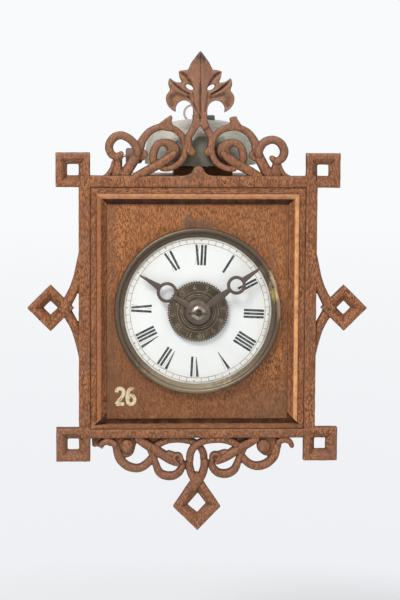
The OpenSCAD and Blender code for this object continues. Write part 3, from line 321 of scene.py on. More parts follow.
# Curves of the crest as [across, above the top rail, width], and outlines without widths, for its right side
BIG_LOOP = [[55, -2, 8], [50, 5.5, 8], [46, 13, 7.8], [43.6, 20, 7], [41.5, 26.5, 6], [36, 33, 5.4],
            [27, 36.3, 5], [17.5, 34.2, 5], [11.6, 28, 4.8], [10, 20, 4.6], [11.6, 12.8, 4.8],
            [16.5, 7.7, 4.8], [23, 5.2, 4.4], [29, 5.6, 4]]
DIAGONAL = [[17, 18, 3], [20.4, 14.8, 6], [24.6, 11.6, 6.8], [31.4, 7.4, 6.8], [40, 2.8, 6.6], [48, -2, 6]]
INNER_CURL = [[33, 8, 5.2], [33.8, 14, 6], [32.4, 19.8, 6], [29.4, 23.8, 5.6], [25.2, 24.6, 6],
              [21.2, 22.8, 8.2], [18.4, 19.2, 10], [20.4, 15.2, 9], [24.6, 11.2, 6.4]]
OUTER_SCROLL = [[44.8, 13.4, 6], [45.6, 19.8, 6.2], [49.5, 25.2, 6], [55.6, 27, 6], [61.3, 24.5, 6.2],
                [64.2, 18.6, 6.2], [62.4, 13, 5.8], [58.2, 11.2, 5.2], [55.6, 13, 4.6], [54.8, 15.2, 4.2]]
FOOT = [[57.5, -1.5, 12.5], [58.2, 2.2, 9.6], [58.4, 7.6, 6.4], [58.2, 11, 5.6]]
FOOT_FLARE = [[71, -1.5, 1.5], [65.5, 0.5, 3], [62.2, 4.5, 3], [60.8, 9, 2.5]]
LEG = [[2, 44, 6], [3.4, 38.5, 5.8], [5.8, 33.5, 5.4], [8.2, 29, 5.2], [8.7, 24.6, 5.2], [7.8, 20.4, 5.6],
       [5.6, 17.2, 6.2], [3.9, 15.4, 6.4]]
RIGHT_THORN = [[20, 36.4], [23.6, 40], [22.9, 42.6], [24.4, 43.9], [28.3, 44.4], [29, 42.2], [32, 38],
               [29, 34], [23, 34]]
LEFT_THORN = [[19, 36.4], [20, 40.4], [19.4, 43.2], [20.5, 45.2], [25, 42.2], [30.5, 38], [27, 34], [22, 33]]
INNER_THORN = [[43, 21.5], [38.2, 17], [38.4, 13.6], [42, 11], [45, 14]]
RAIL_POINT = [[-15, -0.6], [-8.5, 0.6], [-5, 2.6], [-3, 6.2], [0, 7.2],
              [3, 6.2], [5, 2.6], [8.5, 0.6], [15, -0.6]]
# Right edge of the finial from its tip down, as curves that meet at the leaves' points
FINIAL_RUNS = [
    [[0, 92.7], [3.2, 88.6], [6.8, 83.6], [9.2, 78.6]],
    [[9.2, 78.6], [12.6, 78.4], [16.1, 77.6]],
    [[16.1, 77.6], [15.4, 73.2], [13.5, 69.2]],
    [[13.5, 69.2], [18, 69.6], [22.8, 72.6]],
    [[22.8, 72.6], [23.7, 68.4], [22.4, 63.6]],
    [[22.4, 63.6], [25.2, 59], [25.1, 54.6], [22.6, 50.3], [17.9, 47]],
    [[17.9, 47], [18.3, 50.6], [16.2, 54.3], [12, 56], [7.8, 54.4], [5.6, 50.6], [5.2, 45.4], [5.4, 41],
     [6.6, 37]],
    [[6.6, 37], [3, 34.4], [0, 37.4]]]
# Folds of the finial's leaves on both sides, and cuts across its stem: (line, width, depth). A depth
# below zero is a ridge.
LEAF_FOLDS = [
    ([(14.8, 76.6), (11, 74.4), (7.6, 69.5), (6.2, 64.5)], 1.0, 1.9),
    ([(13.2, 72.6), (10.4, 71.8)], 1.5, -0.5),
    ([(22.2, 71.6), (18.5, 67.4), (13.5, 63.4), (8.6, 60.8)], 0.75, 2.1),
    ([(21.4, 67.6), (16.5, 63), (10.5, 60)], 1.3, -0.6),
    ([(8.2, 58.2), (12.5, 59), (17.5, 60), (20.6, 57.5), (20.6, 53)], 2.3, 2.3),
    ([(5.6, 62), (4.8, 54), (3.6, 48)], 0.7, 0.8)]
STEM_CUTS = [([(-9.5, 59), (-5.5, 54), (-2.2, 48), (0, 43)], 0.6, 1.1), ([(-5, 47), (-1, 41.5)], 0.6, 0.7)]
# Curves and outlines of the apron, with heights from the lower rail's underside
KNOT_LOW = [[4.5, -40, 7.4], [-2.4, -30.6, 6.6], [-5.4, -23, 6], [-5.6, -15.5, 5.8]]
KNOT_HIGH = [[-5.4, -19, 5.8], [-5, -12.5, 5.6], [-2.6, -7.4, 5.4], [2, -3.6, 5.4], [7.6, -1.7, 5.4],
             [14, -0.9, 5.4], [20.5, -1.2, 5.6], [26.5, -3, 5.8], [32.5, -6.6, 5.4]]
BRACE = [[47, 1, 6], [38, -4.5, 7], [30, -9.3, 7.2], [23, -13.8, 7], [17.5, -17, 5.5], [13.5, -19.5, 2]]
SMALL_LOOP = [[23.5, -10.5, 4.4], [17, -12.6, 4.8], [12, -16.5, 5], [11.8, -22, 5.6], [16, -26.6, 6.2],
              [22.5, -27.6, 6.6], [28.3, -24.8, 6.2], [31.2, -18.6, 5.4], [33.5, -12.5, 5], [36.5, -7, 4.5]]
OUTER_LOOP = [[33.5, -13, 5.5], [37, -17.6, 6], [42, -21, 6.2], [47.5, -21.6, 6.4], [53.5, -19.6, 6.6],
              [58.6, -14.4, 6.6], [60.8, -7.5, 6], [62.4, -2.4, 4.8]]
HOOK = [[60.5, -4.4, 4.6], [63, -2.4, 4.4], [67, -1.5, 4], [71, -3.4, 4], [72.4, -7.4, 3.6]]
LOBE = [[45.5, -1.5], [46.6, -6.5], [48.4, -11.2], [51.4, -13.6], [55, -13.8], [58.6, -10.6], [60, -5],
        [63.5, -1.4], [63, 1.5], [48, 1.5]]
BROKEN_HOOK = [[61, -6, 4.6], [63.4, -3, 4.6], [67, -1.8, 4.6], [71, -2.6, 4.4], [74, -5.6, 3.8]]
BROKEN_END = [[61, 1], [79.6, 1], [79.4, -5.7], [77.6, -6.4], [75.8, -5.9], [74, -6.3], [72, -7.9],
              [70.2, -5.8], [68.6, -4.7], [66, -5.6], [62, -6]]
GAP_WEB = [[27, 0.8], [46, 0.8], [41, -3], [36.5, -4.6], [31, -2.6]]
KITE_OUT = [[0, -25.4], [18.1, -52.6], [0.6, -70.8], [-18.1, -52.6]]
KITE_IN = [[0.9, -42.4], [7, -50.4], [0.5, -57.6], [-6.9, -51.4]]
# Arms of the side diamonds, as [out from the frame, above the diamond's middle, width]
ARM_HIGH = [[-2.9, 43.7, 5], [-1.4, 31.7, 7], [1.3, 20.2, 7.2], [5, 10.9, 7.4], [10, 1.7, 7.8],
            [13.7, -4.3, 8]]
ARM_LOW = [[-2.7, -38.3, 5], [-0.9, -26.3, 7], [2.2, -15.8, 7.2], [6.3, -7.9, 7.4], [10.7, -0.7, 7.8],
           [14.2, 4.7, 8]]


def apron(side, points):
    """Points below the lower rail; the left loops hang a little lower."""
    out = []
    for p in points:
        drop = 1.5 * ramp(-p[1], 0, 24) if side < 0 and p[0] > 9 else 0
        out.append([side * p[0], RAIL_LOW + p[1] - drop, *p[2:]])
    return out


def distance_to(px, pz, line, closed=True):
    """Distance of many points from a line of points."""
    best = np.full(px.shape, 1e9)
    ends = list(zip(line, [*line[1:], line[0]])) if closed else list(zip(line, line[1:]))
    for (ax, az), (bx, bz) in ends:
        dx, dz = bx - ax, bz - az
        size = dx * dx + dz * dz or 1e-9
        t = np.clip(((px - ax) * dx + (pz - az) * dz) / size, 0, 1)
        best = np.minimum(best, np.hypot(px - ax - t * dx, pz - az - t * dz))
    return best


MEETING = 0.05  # curves meet where their points lie this close
EYE_X, EYE_Z = 8, 65.7
EYE_LONG, EYE_SHORT = 3.3, 1.7
EYE_TURN = 32
EYE_SIDES = 18


def finial_outline():
    """Both edges of the leaf as one outline, without the points that its curves share."""
    right = [q for run in FINIAL_RUNS for q in smooth_path(run, 5)]
    kept = [right[0]]
    for q in right[1:] + [[-q[0], q[1]] for q in reversed(right)]:
        if span(kept[-1], q) > MEETING:
            kept.append(q)
    if span(kept[-1], kept[0]) < MEETING:
        kept.pop()
    return kept


def finial_eye(side):
    """The oval hole between two leaves."""
    turn = math.radians(EYE_TURN * side)
    points = []
    for k in range(EYE_SIDES):
        a = math.tau * k / EYE_SIDES
        u, v = EYE_LONG * math.cos(a), EYE_SHORT * math.sin(a)
        points.append([side * EYE_X + u * math.cos(turn) - v * math.sin(turn),
                       EYE_Z + u * math.sin(turn) + v * math.cos(turn)])
    return points


def upright(outline, front, back):
    """A straight solid out of an outline of the finial."""
    return tube([[(x + CREST_LEAN, y, z + RAIL_TOP) for x, z in outline] for y in (front, back)])


def crease(px, pz, line, width, depth):
    """The depth of a soft groove along a line."""
    return depth * np.exp(-(distance_to(px, pz, line, closed=False) / width) ** 2)


FOLD_EDGE = 1.5
FOLD_DEEPEST = 5.5


def finial_relief(px, pz, outline, eyes):
    """How far the finial's face is cut back at each point: edges, folds and hollows of its leaves."""
    edge = distance_to(px, pz, outline)
    for eye in eyes:
        edge = np.minimum(edge, distance_to(px, pz, eye))
    near = np.clip(edge, 0, FOLD_EDGE)
    cut = FOLD_EDGE - np.sqrt(np.maximum(FOLD_EDGE ** 2 - (FOLD_EDGE - near) ** 2, 0))
    fall_to_sides = 2.6 * ramp(pz, 62, 74) * ramp(pz, 91, 84) * ramp(np.abs(px), 0, 8)
    leaf_groove = 0.9 * ramp(pz, 60, 68) * ramp(pz, 92, 88) * np.exp(-(px / 0.6) ** 2)
    stem_groove = 1.3 * ramp(pz, 37, 42) * ramp(pz, 72, 64) * np.exp(-(px / 0.9) ** 2)
    cut += fall_to_sides + leaf_groove + stem_groove
    for side in (-1, 1):
        for fold in LEAF_FOLDS:
            cut += crease(px * side, pz, *fold)
    for fold in STEM_CUTS:
        cut += crease(px, pz, *fold)
    return cut


def finial():
    """The leaf on top: its outline as a solid, then its face is cut back by its relief."""
    outline = finial_outline()
    eyes = [finial_eye(-1), finial_eye(1)]
    cutters = [upright(eye, FRET_FRONT - 2, FRET_BACK + 2) for eye in eyes]
    blank = upright(outline, FRET_FRONT, FRET_BACK)
    mesh = grown_together("finial_blank", [blank], FINIAL_CELL, rubs=0, cutters=cutters)
    places = read_vertices(mesh, "co", np.float64) / MM
    px = places[:, 0] - CREST_LEAN
    pz = places[:, 2] - DIAL_Z - RAIL_TOP
    cut = np.clip(finial_relief(px, pz, outline, eyes), 0, FOLD_DEEPEST)
    y = places[:, 1] + cut * ramp(places[:, 1], FRET_BACK, FRET_FRONT)
    points = [(p[0], d, p[2] - DIAL_Z) for p, d in zip(places, y)]
    faces = [tuple(face.vertices) for face in mesh.polygons]
    bpy.data.meshes.remove(mesh)
    return points, faces


def corner_ring(side, edge_z, up):
    """The pierced square outside a corner of the frame."""
    x0 = FRAME_X - BAR_W
    z0 = edge_z - up * BAR_W

    def square(start, size):
        return [(side * (x0 + start + u * size), z0 + up * (start + v * size))
                for u, v in ((0, 0), (1, 0), (1, 1), (0, 1))]

    return pierced_square(square(0, RING_HOLE + 2 * BAR_W), square(BAR_W, RING_HOLE), FRET_FRONT)


RAIL_INSET = 1.5  # the rails end inside the corner rings
RAIL_BELLY = 1.9
STILE_BELLY = 1.6
LOW_GAP = 0.6  # between the lower rail and the moulding above it


def rail(middle_z, width=BAR_W):
    """A level bar between the corner rings."""
    half = FRAME_X - RAIL_INSET
    return bar([[-half, middle_z, width], [half, middle_z, width]], FRET_FRONT, RAIL_BELLY, flat=3,
               rounded=False)


def crest_solids():
    solids = [rail(RAIL_TOP - BAR_W / 2), finial()]
    point = [[p[0], p[1] + RAIL_TOP] for p in smooth_path(RAIL_POINT, 4)]
    point += [[12, RAIL_TOP - 4], [-12, RAIL_TOP - 4]]
    solids.append(block(point, FRET_FRONT, soft=0.9, steps=0))
    for side in (-1, 1):
        solids.append(corner_ring(side, RAIL_TOP, 1))
        for curve, layers in ((BIG_LOOP, 1), (DIAGONAL, 0), (INNER_CURL, 2), (OUTER_SCROLL, 0), (FOOT, 1)):
            solids.append(bar(crest(side, curve), FRET_FRONT + layers * UNDER))
        solids.append(bar(crest(side, FOOT_FLARE), FRET_FRONT + UNDER, belly=1.6))
        leg = [[p[0] + CREST_LEAN, *p[1:]] for p in crest(side, LEG)]
        solids.append(bar(leg, FRET_FRONT + (0 if side < 0 else 1.2 * UNDER)))
        thorn = LEFT_THORN if side < 0 else RIGHT_THORN
        solids.append(block(crest(side, thorn), FRET_FRONT + UNDER, soft=1.3, steps=0))
        solids.append(block(crest(side, INNER_THORN), FRET_FRONT + 2 * UNDER))
    return solids


VOLUTE_STEPS = 12
VOLUTE_W = 3.0
VOLUTE_R = 4.1
LOBE_R = 5.6


def volute(x, z):
    """A curl that winds inward from its outer end."""
    points = []
    for k in range(VOLUTE_STEPS + 1):
        share = k / VOLUTE_STEPS
        a = math.radians(230 - 330 * share)
        r = VOLUTE_R * (1 - 0.72 * share)
        points.append([x + r * math.cos(a), z + r * math.sin(a), VOLUTE_W * (1 + 0.12 * share)])
    return points


def lobe(x, z):
    """The outline of a round lobe."""
    return [[x + LOBE_R * math.cos(a), z + 1.06 * LOBE_R * math.sin(a)]
            for a in np.linspace(0, math.tau, 24, False)]


def apron_solids():
    solids = [rail((MOULD_LOW + RAIL_LOW + LOW_GAP) / 2, MOULD_LOW - RAIL_LOW - LOW_GAP)]
    for side, lobe_at, curl_at in ((-1, (52.9, -5.6), (15.4, -14.6)), (1, (51, -6.2), (14.6, -14.6))):
        solids.append(block(apron(side, lobe(*lobe_at)), FRET_FRONT + 0.4 * UNDER, soft=4.2, steps=0))
        solids.append(bar(apron(side, volute(*curl_at)), FRET_FRONT + 0.2 * UNDER, belly=1.9))
        solids.append(block(apron(side, GAP_WEB), FRET_BACK - 2.6, soft=0.8, steps=0))
        solids.append(corner_ring(side, RAIL_LOW, -1))
        solids.append(block(apron(side, LOBE), FRET_FRONT + 2.2 * UNDER, soft=2.2))
        low, high = (1.4, 0.6) if side > 0 else (0, 1.8)
        bars = ((OUTER_LOOP, 1), (SMALL_LOOP, 1), (BRACE, 0.4), (KNOT_LOW, low), (KNOT_HIGH, high))
        for curve, layers in bars:
            solids.append(bar(apron(side, curve), FRET_FRONT + layers * UNDER))
    solids.append(bar(apron(1, HOOK), FRET_FRONT))
    solids.append(bar(apron(-1, BROKEN_HOOK), FRET_FRONT))
    solids.append(block(apron(-1, BROKEN_END), FRET_BACK - 3.2, soft=1.2, steps=0))
    solids.append(pierced_square(apron(1, KITE_OUT), apron(1, KITE_IN), FRET_FRONT + UNDER))
    return solids


def stile_solids(side):
    x = side * (FRAME_X - BAR_W / 2)
    low, high = RAIL_LOW + BAR_W - 1, RAIL_TOP - BAR_W + 1
    solids = [bar([[x, low, BAR_W], [x, high, BAR_W]], FRET_FRONT, STILE_BELLY, flat=3.5, rounded=False)]
    for points, face in ((ARM_HIGH, FRET_FRONT), (ARM_LOW, FRET_FRONT + UNDER)):
        solids.append(bar([[side * (FRAME_X + p[0]), SIDE_Z + p[1], p[2]] for p in points], face))
    cx = side * (FRAME_X + SIDE_OUT)
    outer, inner = ([(cx + half * u, SIDE_Z + half * v) for u, v in ((1, 0), (0, 1), (-1, 0), (0, -1))]
                    for half in (SIDE_HALF, SIDE_HOLE))
    solids.append(pierced_square(outer, inner, FRET_FRONT + UNDER / 2))
    return solids


# Finishes

def colour(r, g, b):
    """A colour from its 0-255 screen values."""
    def channel(v):
        v = v / 255
        return v / 12.92 if v <= 0.04045 else ((v + 0.055) / 1.055) ** 2.4
    return channel(r), channel(g), channel(b), 1.0


def node(tree, kind, settings=None, **sockets):
    """Adds a node; each socket is named, or i and its number, and gets a link or a value."""
    made = tree.nodes.new(kind)
    for key, value in (settings or {}).items():
        setattr(made, key, value)
    for key, value in sockets.items():
        spot = made.inputs[int(key[1:])] if key[1:].isdigit() else made.inputs[key.replace("_", " ")]
        if isinstance(value, bpy.types.NodeSocket):
            tree.links.new(value, spot)
        else:
            spot.default_value = value
    return made


def connect(tree, sockets, **values):
    """Links values to the sockets of their names."""
    for label, value in values.items():
        tree.links.new(value, sockets[label.replace("_", " ")])


def group(name, inputs, outputs):
    """An empty node group with its sockets: (name, kind, value) for inputs, (name, kind) for outputs."""
    tree = bpy.data.node_groups.new(name, "ShaderNodeTree")
    for label, kind, value in inputs:
        spot = tree.interface.new_socket(label, in_out="INPUT", socket_type="NodeSocket" + kind)
        if value is not None:
            spot.default_value = value
    for label, kind in outputs:
        tree.interface.new_socket(label, in_out="OUTPUT", socket_type="NodeSocket" + kind)
    return tree, tree.nodes.new("NodeGroupInput").outputs, tree.nodes.new("NodeGroupOutput").inputs


def mixed(tree, share, a, b):
    return node(tree, "ShaderNodeMix", {"data_type": "RGBA"}, i0=share, i6=a, i7=b).outputs[2]


def maths(tree, what, a, b=0.5, clamp=False):
    return node(tree, "ShaderNodeMath", {"operation": what, "use_clamp": clamp}, i0=a, i1=b).outputs[0]


def times(tree, a, b, clamp=False):
    return maths(tree, "MULTIPLY", a, b, clamp)


def between(tree, value, low, high, to_low=0.0, to_high=1.0):
    return node(tree, "ShaderNodeMapRange", {"clamp": True}, Value=value, From_Min=low, From_Max=high,
                To_Min=to_low, To_Max=to_high).outputs[0]


def vectors(tree, what, a, b):
    return node(tree, "ShaderNodeVectorMath", {"operation": what}, i0=a, i1=b).outputs[0]


def stretched(tree, vector, x, y, z):
    return vectors(tree, "MULTIPLY", vector, (x, y, z))


def distance_from(tree, where, middle, stretch=(1, 1, 1)):
    """How far each point is from a place, in metres."""
    away = vectors(tree, "MULTIPLY", vectors(tree, "SUBTRACT", where, middle), stretch)
    return node(tree, "ShaderNodeVectorMath", {"operation": "LENGTH"}, i0=away).outputs["Value"]


def ahead_of(tree, normal):
    """One where a surface faces straight to the front or back, zero on its sides."""
    return maths(tree, "ABSOLUTE", node(tree, "ShaderNodeSeparateXYZ", Vector=normal).outputs[1])


def speckle(tree, vector, scale, detail, rough):
    return node(tree, "ShaderNodeTexNoise", Vector=vector, Scale=scale, Detail=detail,
                Roughness=rough).outputs[0]


def make_wood_grain():
    """Open-pored wood, its grain along Z. Position is in metres, and the noises count per centimetre."""
    tree, given, out = group("wood_grain", [
        ("Position", "Vector", None), ("Light", "Color", colour(190, 128, 86)),
        ("Middle", "Color", colour(152, 98, 64)), ("Dark", "Color", colour(96, 56, 36)),
        ("Pore", "Color", colour(58, 30, 20)), ("Flecks", "Float", 1.0)],
        [("Color", "Color"), ("Height", "Float"), ("Roughness", "Float")])
    spot = stretched(tree, given["Position"], 100, 100, 100)
    bend = node(tree, "ShaderNodeTexNoise", Vector=spot, Scale=0.5, Detail=1.0).outputs["Color"]
    wavy = vectors(tree, "ADD", stretched(tree, bend, 0.5, 0.5, 0.0), spot)
    patch = speckle(tree, stretched(tree, wavy, 1, 1, 0.4), 0.6, 3.0, 0.6)
    streak = speckle(tree, stretched(tree, wavy, 1, 1, 0.11), 3.2, 3.0, 0.6)
    dash = speckle(tree, stretched(tree, wavy, 1, 1, 0.36), 9.5, 2.5, 0.62)
    fine = speckle(tree, stretched(tree, wavy, 1, 1, 0.3), 14.0, 2.0, 0.6)
    base = mixed(tree, between(tree, patch, 0.36, 0.64), given["Middle"], given["Light"])
    base = mixed(tree, between(tree, streak, 0.46, 0.72, 0.0, 0.4), base, given["Dark"])
    bright = times(tree, between(tree, dash, 0.38, 0.47, 1.0, 0.0), 0.9)
    base = mixed(tree, bright, base, given["Light"])
    pore = times(tree, between(tree, dash, 0.52, 0.585), 0.75)
    thin = times(tree, between(tree, fine, 0.53, 0.61), 0.85)
    marks = times(tree, maths(tree, "MAXIMUM", pore, thin), between(tree, patch, 0.35, 0.6, 0.55, 1.0))
    marks = times(tree, marks, given["Flecks"], True)
    base = mixed(tree, times(tree, marks, 0.85), base, given["Pore"])
    height = maths(tree, "SUBTRACT", times(tree, streak, 0.35), times(tree, marks, 0.9))
    rough = between(tree, maths(tree, "ADD", streak, patch), 0.7, 1.3, 0.42, 0.62)
    connect(tree, out, Color=base, Height=height, Roughness=rough)
    return tree


def make_worn_edges():
    """Rubbed edges, and painted shade in hollows and creases, from how sharp the surface is at each point."""
    tree, given, out = group("wear_and_hollow_shade", [
        ("Color", "Color", None), ("Sharpness", "Float", 0.5), ("Position", "Vector", None),
        ("Worn", "Color", colour(196, 140, 98)), ("HollowShade", "Color", colour(44, 24, 17)),
        ("Wear", "Float", 0.6), ("Hollows", "Float", 0.8), ("Edge", "Float", 0.56)], [("Color", "Color")])
    patchy = speckle(tree, given["Position"], 90.0, 3.0, 0.6)
    rubbed = between(tree, maths(tree, "SUBTRACT", given["Sharpness"], given["Edge"]), 0.0, 0.08)
    rubbed = times(tree, rubbed, between(tree, patchy, 0.35, 0.6, 0.25, 1.0))
    rubbed = times(tree, rubbed, given["Wear"], True)
    # Painted shade: hollows and the creases where bars cross are darkened for the shadow that falls there.
    deep = times(tree, between(tree, given["Sharpness"], 0.455, 0.498, 1.0, 0.0), given["Hollows"], True)
    base = mixed(tree, deep, given["Color"], given["HollowShade"])
    connect(tree, out, Color=mixed(tree, rubbed, base, given["Worn"]))
    return tree


def make_weathering():
    """Grey-brown bleaching and stains in soft patches."""
    tree, given, out = group("weathering", [
        ("Color", "Color", None), ("Position", "Vector", None), ("Grey", "Color", colour(134, 104, 86)),
        ("Amount", "Float", 0.4), ("Size", "Float", 26.0)], [("Color", "Color")])
    broad = speckle(tree, given["Position"], given["Size"], 4.0, 0.62)
    share = times(tree, between(tree, broad, 0.5, 0.68), given["Amount"], True)
    connect(tree, out, Color=mixed(tree, share, given["Color"], given["Grey"]))
    return tree


def make_dust():
    """Pale dust on surfaces that face up."""
    tree, given, out = group("dust", [
        ("Color", "Color", None), ("Facing", "Vector", None), ("Position", "Vector", None),
        ("Dust", "Color", colour(168, 156, 142)), ("Amount", "Float", 0.35)], [("Color", "Color")])
    up = node(tree, "ShaderNodeSeparateXYZ", Vector=given["Facing"]).outputs[2]
    patchy = speckle(tree, given["Position"], 130.0, 4.0, 0.7)
    share = times(tree, between(tree, up, 0.45, 1.0), between(tree, patchy, 0.36, 0.66))
    share = times(tree, share, given["Amount"], True)
    connect(tree, out, Color=mixed(tree, share, given["Color"], given["Dust"]))
    return tree


def make_dark_sides():
    """Painted shade: darker wood or metal where a surface turns away from the front."""
    tree, given, out = group("painted_side_shade", [
        ("Color", "Color", None), ("Facing", "Vector", None), ("Shade", "Color", colour(24, 20, 17)),
        ("Start", "Float", 0.2), ("Amount", "Float", 0.8)], [("Color", "Color")])
    share = between(tree, ahead_of(tree, given["Facing"]), given["Start"], 0.8, given["Amount"], 0.0)
    connect(tree, out, Color=mixed(tree, share, given["Color"], given["Shade"]))
    return tree


def make_tarnish():
    """Metal that has darkened in patches, with fine scratches."""
    tree, given, out = group("tarnish", [
        ("Position", "Vector", None), ("Metal", "Color", colour(176, 146, 84)),
        ("Tarnish", "Color", colour(84, 70, 56)), ("Spot", "Color", colour(52, 42, 34)),
        ("Cover", "Float", 0.7), ("Size", "Float", 60.0), ("Smooth", "Float", 0.32),
        ("Rough", "Float", 0.55)], [("Color", "Color"), ("Roughness", "Float"), ("Height", "Float")])
    broad = speckle(tree, given["Position"], given["Size"], 5.0, 0.62)
    small = speckle(tree, given["Position"], times(tree, given["Size"], 9.0), 4.0, 0.65)
    cover = maths(tree, "ADD", broad, maths(tree, "SUBTRACT", given["Cover"], 0.5))
    cover = between(tree, cover, 0.42, 0.62)
    base = mixed(tree, cover, given["Metal"], given["Tarnish"])
    base = mixed(tree, between(tree, small, 0.56, 0.72, 0.0, 0.7), base, given["Spot"])
    rough = between(tree, cover, 0.0, 1.0, given["Smooth"], given["Rough"])
    rough = maths(tree, "ADD", rough, between(tree, small, 0.3, 0.7, -0.06, 0.1))
    scratch = speckle(tree, stretched(tree, given["Position"], 1, 1, 0.05), 2600.0, 2.0, 0.6)
    height = maths(tree, "ADD", times(tree, small, 0.6), times(tree, scratch, 0.25))
    connect(tree, out, Color=base, Roughness=rough, Height=height)
    return tree


def make_soft_mark():
    """A soft-edged round mark at a place on the object, broken up by noise."""
    tree, given, out = group("soft_mark", [
        ("Position", "Vector", None), ("Centre", "Vector", None), ("Radius", "Float", 0.01),
        ("Stretch", "Vector", (1.0, 1.0, 1.0)), ("Breakup", "Float", 200.0), ("Amount", "Float", 1.0)],
        [("Mask", "Float")])
    far = distance_from(tree, given["Position"], given["Centre"], given["Stretch"])
    rough = speckle(tree, given["Position"], given["Breakup"], 4.0, 0.65)
    share = maths(tree, "ADD", maths(tree, "DIVIDE", far, given["Radius"]),
                  between(tree, rough, 0.3, 0.7, -0.35, 0.35))
    inside = between(tree, share, 0.55, 1.1, 1.0, 0.0)
    connect(tree, out, Mask=times(tree, inside, given["Amount"], True))
    return tree


def make_soft_band():
    """A soft-edged band across the object, broken up by noise."""
    tree, given, out = group("soft_band", [
        ("Position", "Vector", None), ("Across", "Vector", (1.0, 0.0, 0.0)), ("Middle", "Float", 0.0),
        ("Half", "Float", 0.002), ("Amount", "Float", 1.0)], [("Mask", "Float")])
    along = node(tree, "ShaderNodeVectorMath", {"operation": "DOT_PRODUCT"}, i0=given["Position"],
                 i1=given["Across"]).outputs["Value"]
    off = maths(tree, "ABSOLUTE", maths(tree, "SUBTRACT", along, given["Middle"]))
    line = between(tree, maths(tree, "DIVIDE", off, given["Half"]), 0.55, 1.0, 1.0, 0.0)
    patchy = between(tree, speckle(tree, given["Position"], 160.0, 3.0, 0.6), 0.32, 0.6, 0.45, 1.0)
    connect(tree, out, Mask=times(tree, times(tree, line, patchy), given["Amount"], True))
    return tree


def make_worn_paint():
    """Old paint that has worn through in small spots."""
    tree, given, out = group("worn_paint", [
        ("Position", "Vector", None), ("Paint", "Color", None), ("Under", "Color", None),
        ("Loss", "Float", 0.03), ("Size", "Float", 700.0)],
        [("Color", "Color"), ("Roughness", "Float"), ("Height", "Float")])
    small = speckle(tree, given["Position"], given["Size"], 4.0, 0.65)
    broad = speckle(tree, given["Position"], times(tree, given["Size"], 0.2), 2.0, 0.5)
    share = between(tree, maths(tree, "ADD", small, times(tree, broad, 0.5)),
                    maths(tree, "SUBTRACT", 0.72, given["Loss"]), maths(tree, "SUBTRACT", 0.9, given["Loss"]))
    connect(tree, out, Color=mixed(tree, share, given["Paint"], given["Under"]),
            Roughness=between(tree, small, 0.3, 0.7, 0.45, 0.7), Height=small)
    return tree


WOOD_GRAIN = make_wood_grain()
WEAR_AND_HOLLOW_SHADE = make_worn_edges()
WEATHERING = make_weathering()
DUST = make_dust()
PAINTED_SIDE_SHADE = make_dark_sides()
TARNISH = make_tarnish()
SOFT_MARK = make_soft_mark()
SOFT_BAND = make_soft_band()
WORN_PAINT = make_worn_paint()


def placed(tree, made, **sockets):
    """A node group placed in a material with its own values."""
    return node(tree, "ShaderNodeGroup", {"node_tree": made}, **sockets).outputs


def finish(name):
    """A new material with its tree and shader, where each point is and how the surface lies there."""
    made = bpy.data.materials.new(name)
    made.use_nodes = True
    tree = made.node_tree
    where = tree.nodes.new("ShaderNodeTexCoord").outputs["Object"]
    return made, tree, tree.nodes["Principled BSDF"], where, tree.nodes.new("ShaderNodeNewGeometry").outputs


def feed(tree, shader, base, rough, height, depth, strength):
    """Gives a shader its colour, its roughness and its bumps, whose depth is in metres."""
    bump = node(tree, "ShaderNodeBump", Strength=strength, Distance=depth, Height=height).outputs[0]
    connect(tree, shader.inputs, Base_Color=base, Roughness=rough, Normal=bump)


def with_bands(tree, where, base, bands):
    """Straight bands of colour, as (axis across, middle, half width, shade, amount) each: stains, and painted
    shade and highlights.
    """
    for axis, middle, half, shade, amount in bands:
        across = (1.0, 0.0, 0.0) if axis == "x" else (0.0, 0.0, 1.0)
        middle += DIAL_Z if axis == "z" else 0
        mask = placed(tree, SOFT_BAND, Position=where, Across=across, Middle=middle * MM, Half=half * MM,
                      Amount=amount)["Mask"]
        base = mixed(tree, mask, base, colour(*shade))
    return base


def with_marks(tree, where, base, marks, breakup):
    """Round stains, worn places, painted shade and painted highlights, as (centre, radius, stretch, shade,
    amount) each.
    """
    for centre, radius, stretch, shade, amount in marks:
        mask = placed(tree, SOFT_MARK, Position=where, Centre=place(*centre), Radius=radius * MM,
                      Stretch=stretch, Breakup=breakup, Amount=amount)["Mask"]
        base = mixed(tree, mask, base, colour(*shade))
    return base


GRAIN_TURNS = {"z": (0, 0, 0), "x": (0, math.pi / 2, 0), "y": (math.pi / 2, 0, 0)}


def wood(name, light, middle, dark, pore, wear, hollows, grey, dust, grain="z", flecks=1.0, edge=0.53,
         shift=0.0, worn=(196, 140, 98), bands=(), marks=(), sides=0.0):
    """A wood finish; grain is the axis that the wood's grain runs along."""
    made, tree, shader, where, shape = finish(name)
    along = node(tree, "ShaderNodeMapping", Vector=where, Location=(shift, shift, shift),
                 Rotation=GRAIN_TURNS[grain]).outputs[0]
    grained = placed(tree, WOOD_GRAIN, Position=along, Light=colour(*light), Middle=colour(*middle),
                     Dark=colour(*dark), Pore=colour(*pore), Flecks=flecks)
    base = placed(tree, WEATHERING, Color=grained["Color"], Position=where, Amount=grey)["Color"]
    base = with_bands(tree, where, base, bands)
    base = with_marks(tree, where, base, marks, breakup=200.0)
    # Painted shade on the sides that turn away from the front.
    if sides:
        base = placed(tree, PAINTED_SIDE_SHADE, Color=base, Facing=shape["Normal"], Shade=colour(*pore), Start=0.12,
                      Amount=sides)["Color"]
    # Rubbed edges, and painted shade in the hollows.
    base = placed(tree, WEAR_AND_HOLLOW_SHADE, Color=base, Sharpness=shape["Pointiness"], Position=where,
                  Worn=colour(*worn), Wear=wear, Hollows=hollows, Edge=edge)["Color"]
    base = placed(tree, DUST, Color=base, Facing=shape["Normal"], Position=where, Amount=dust)["Color"]
    feed(tree, shader, base, grained["Roughness"], grained["Height"], depth=0.00018, strength=0.6)
    shader.inputs["Specular IOR Level"].default_value = 0.25
    return made


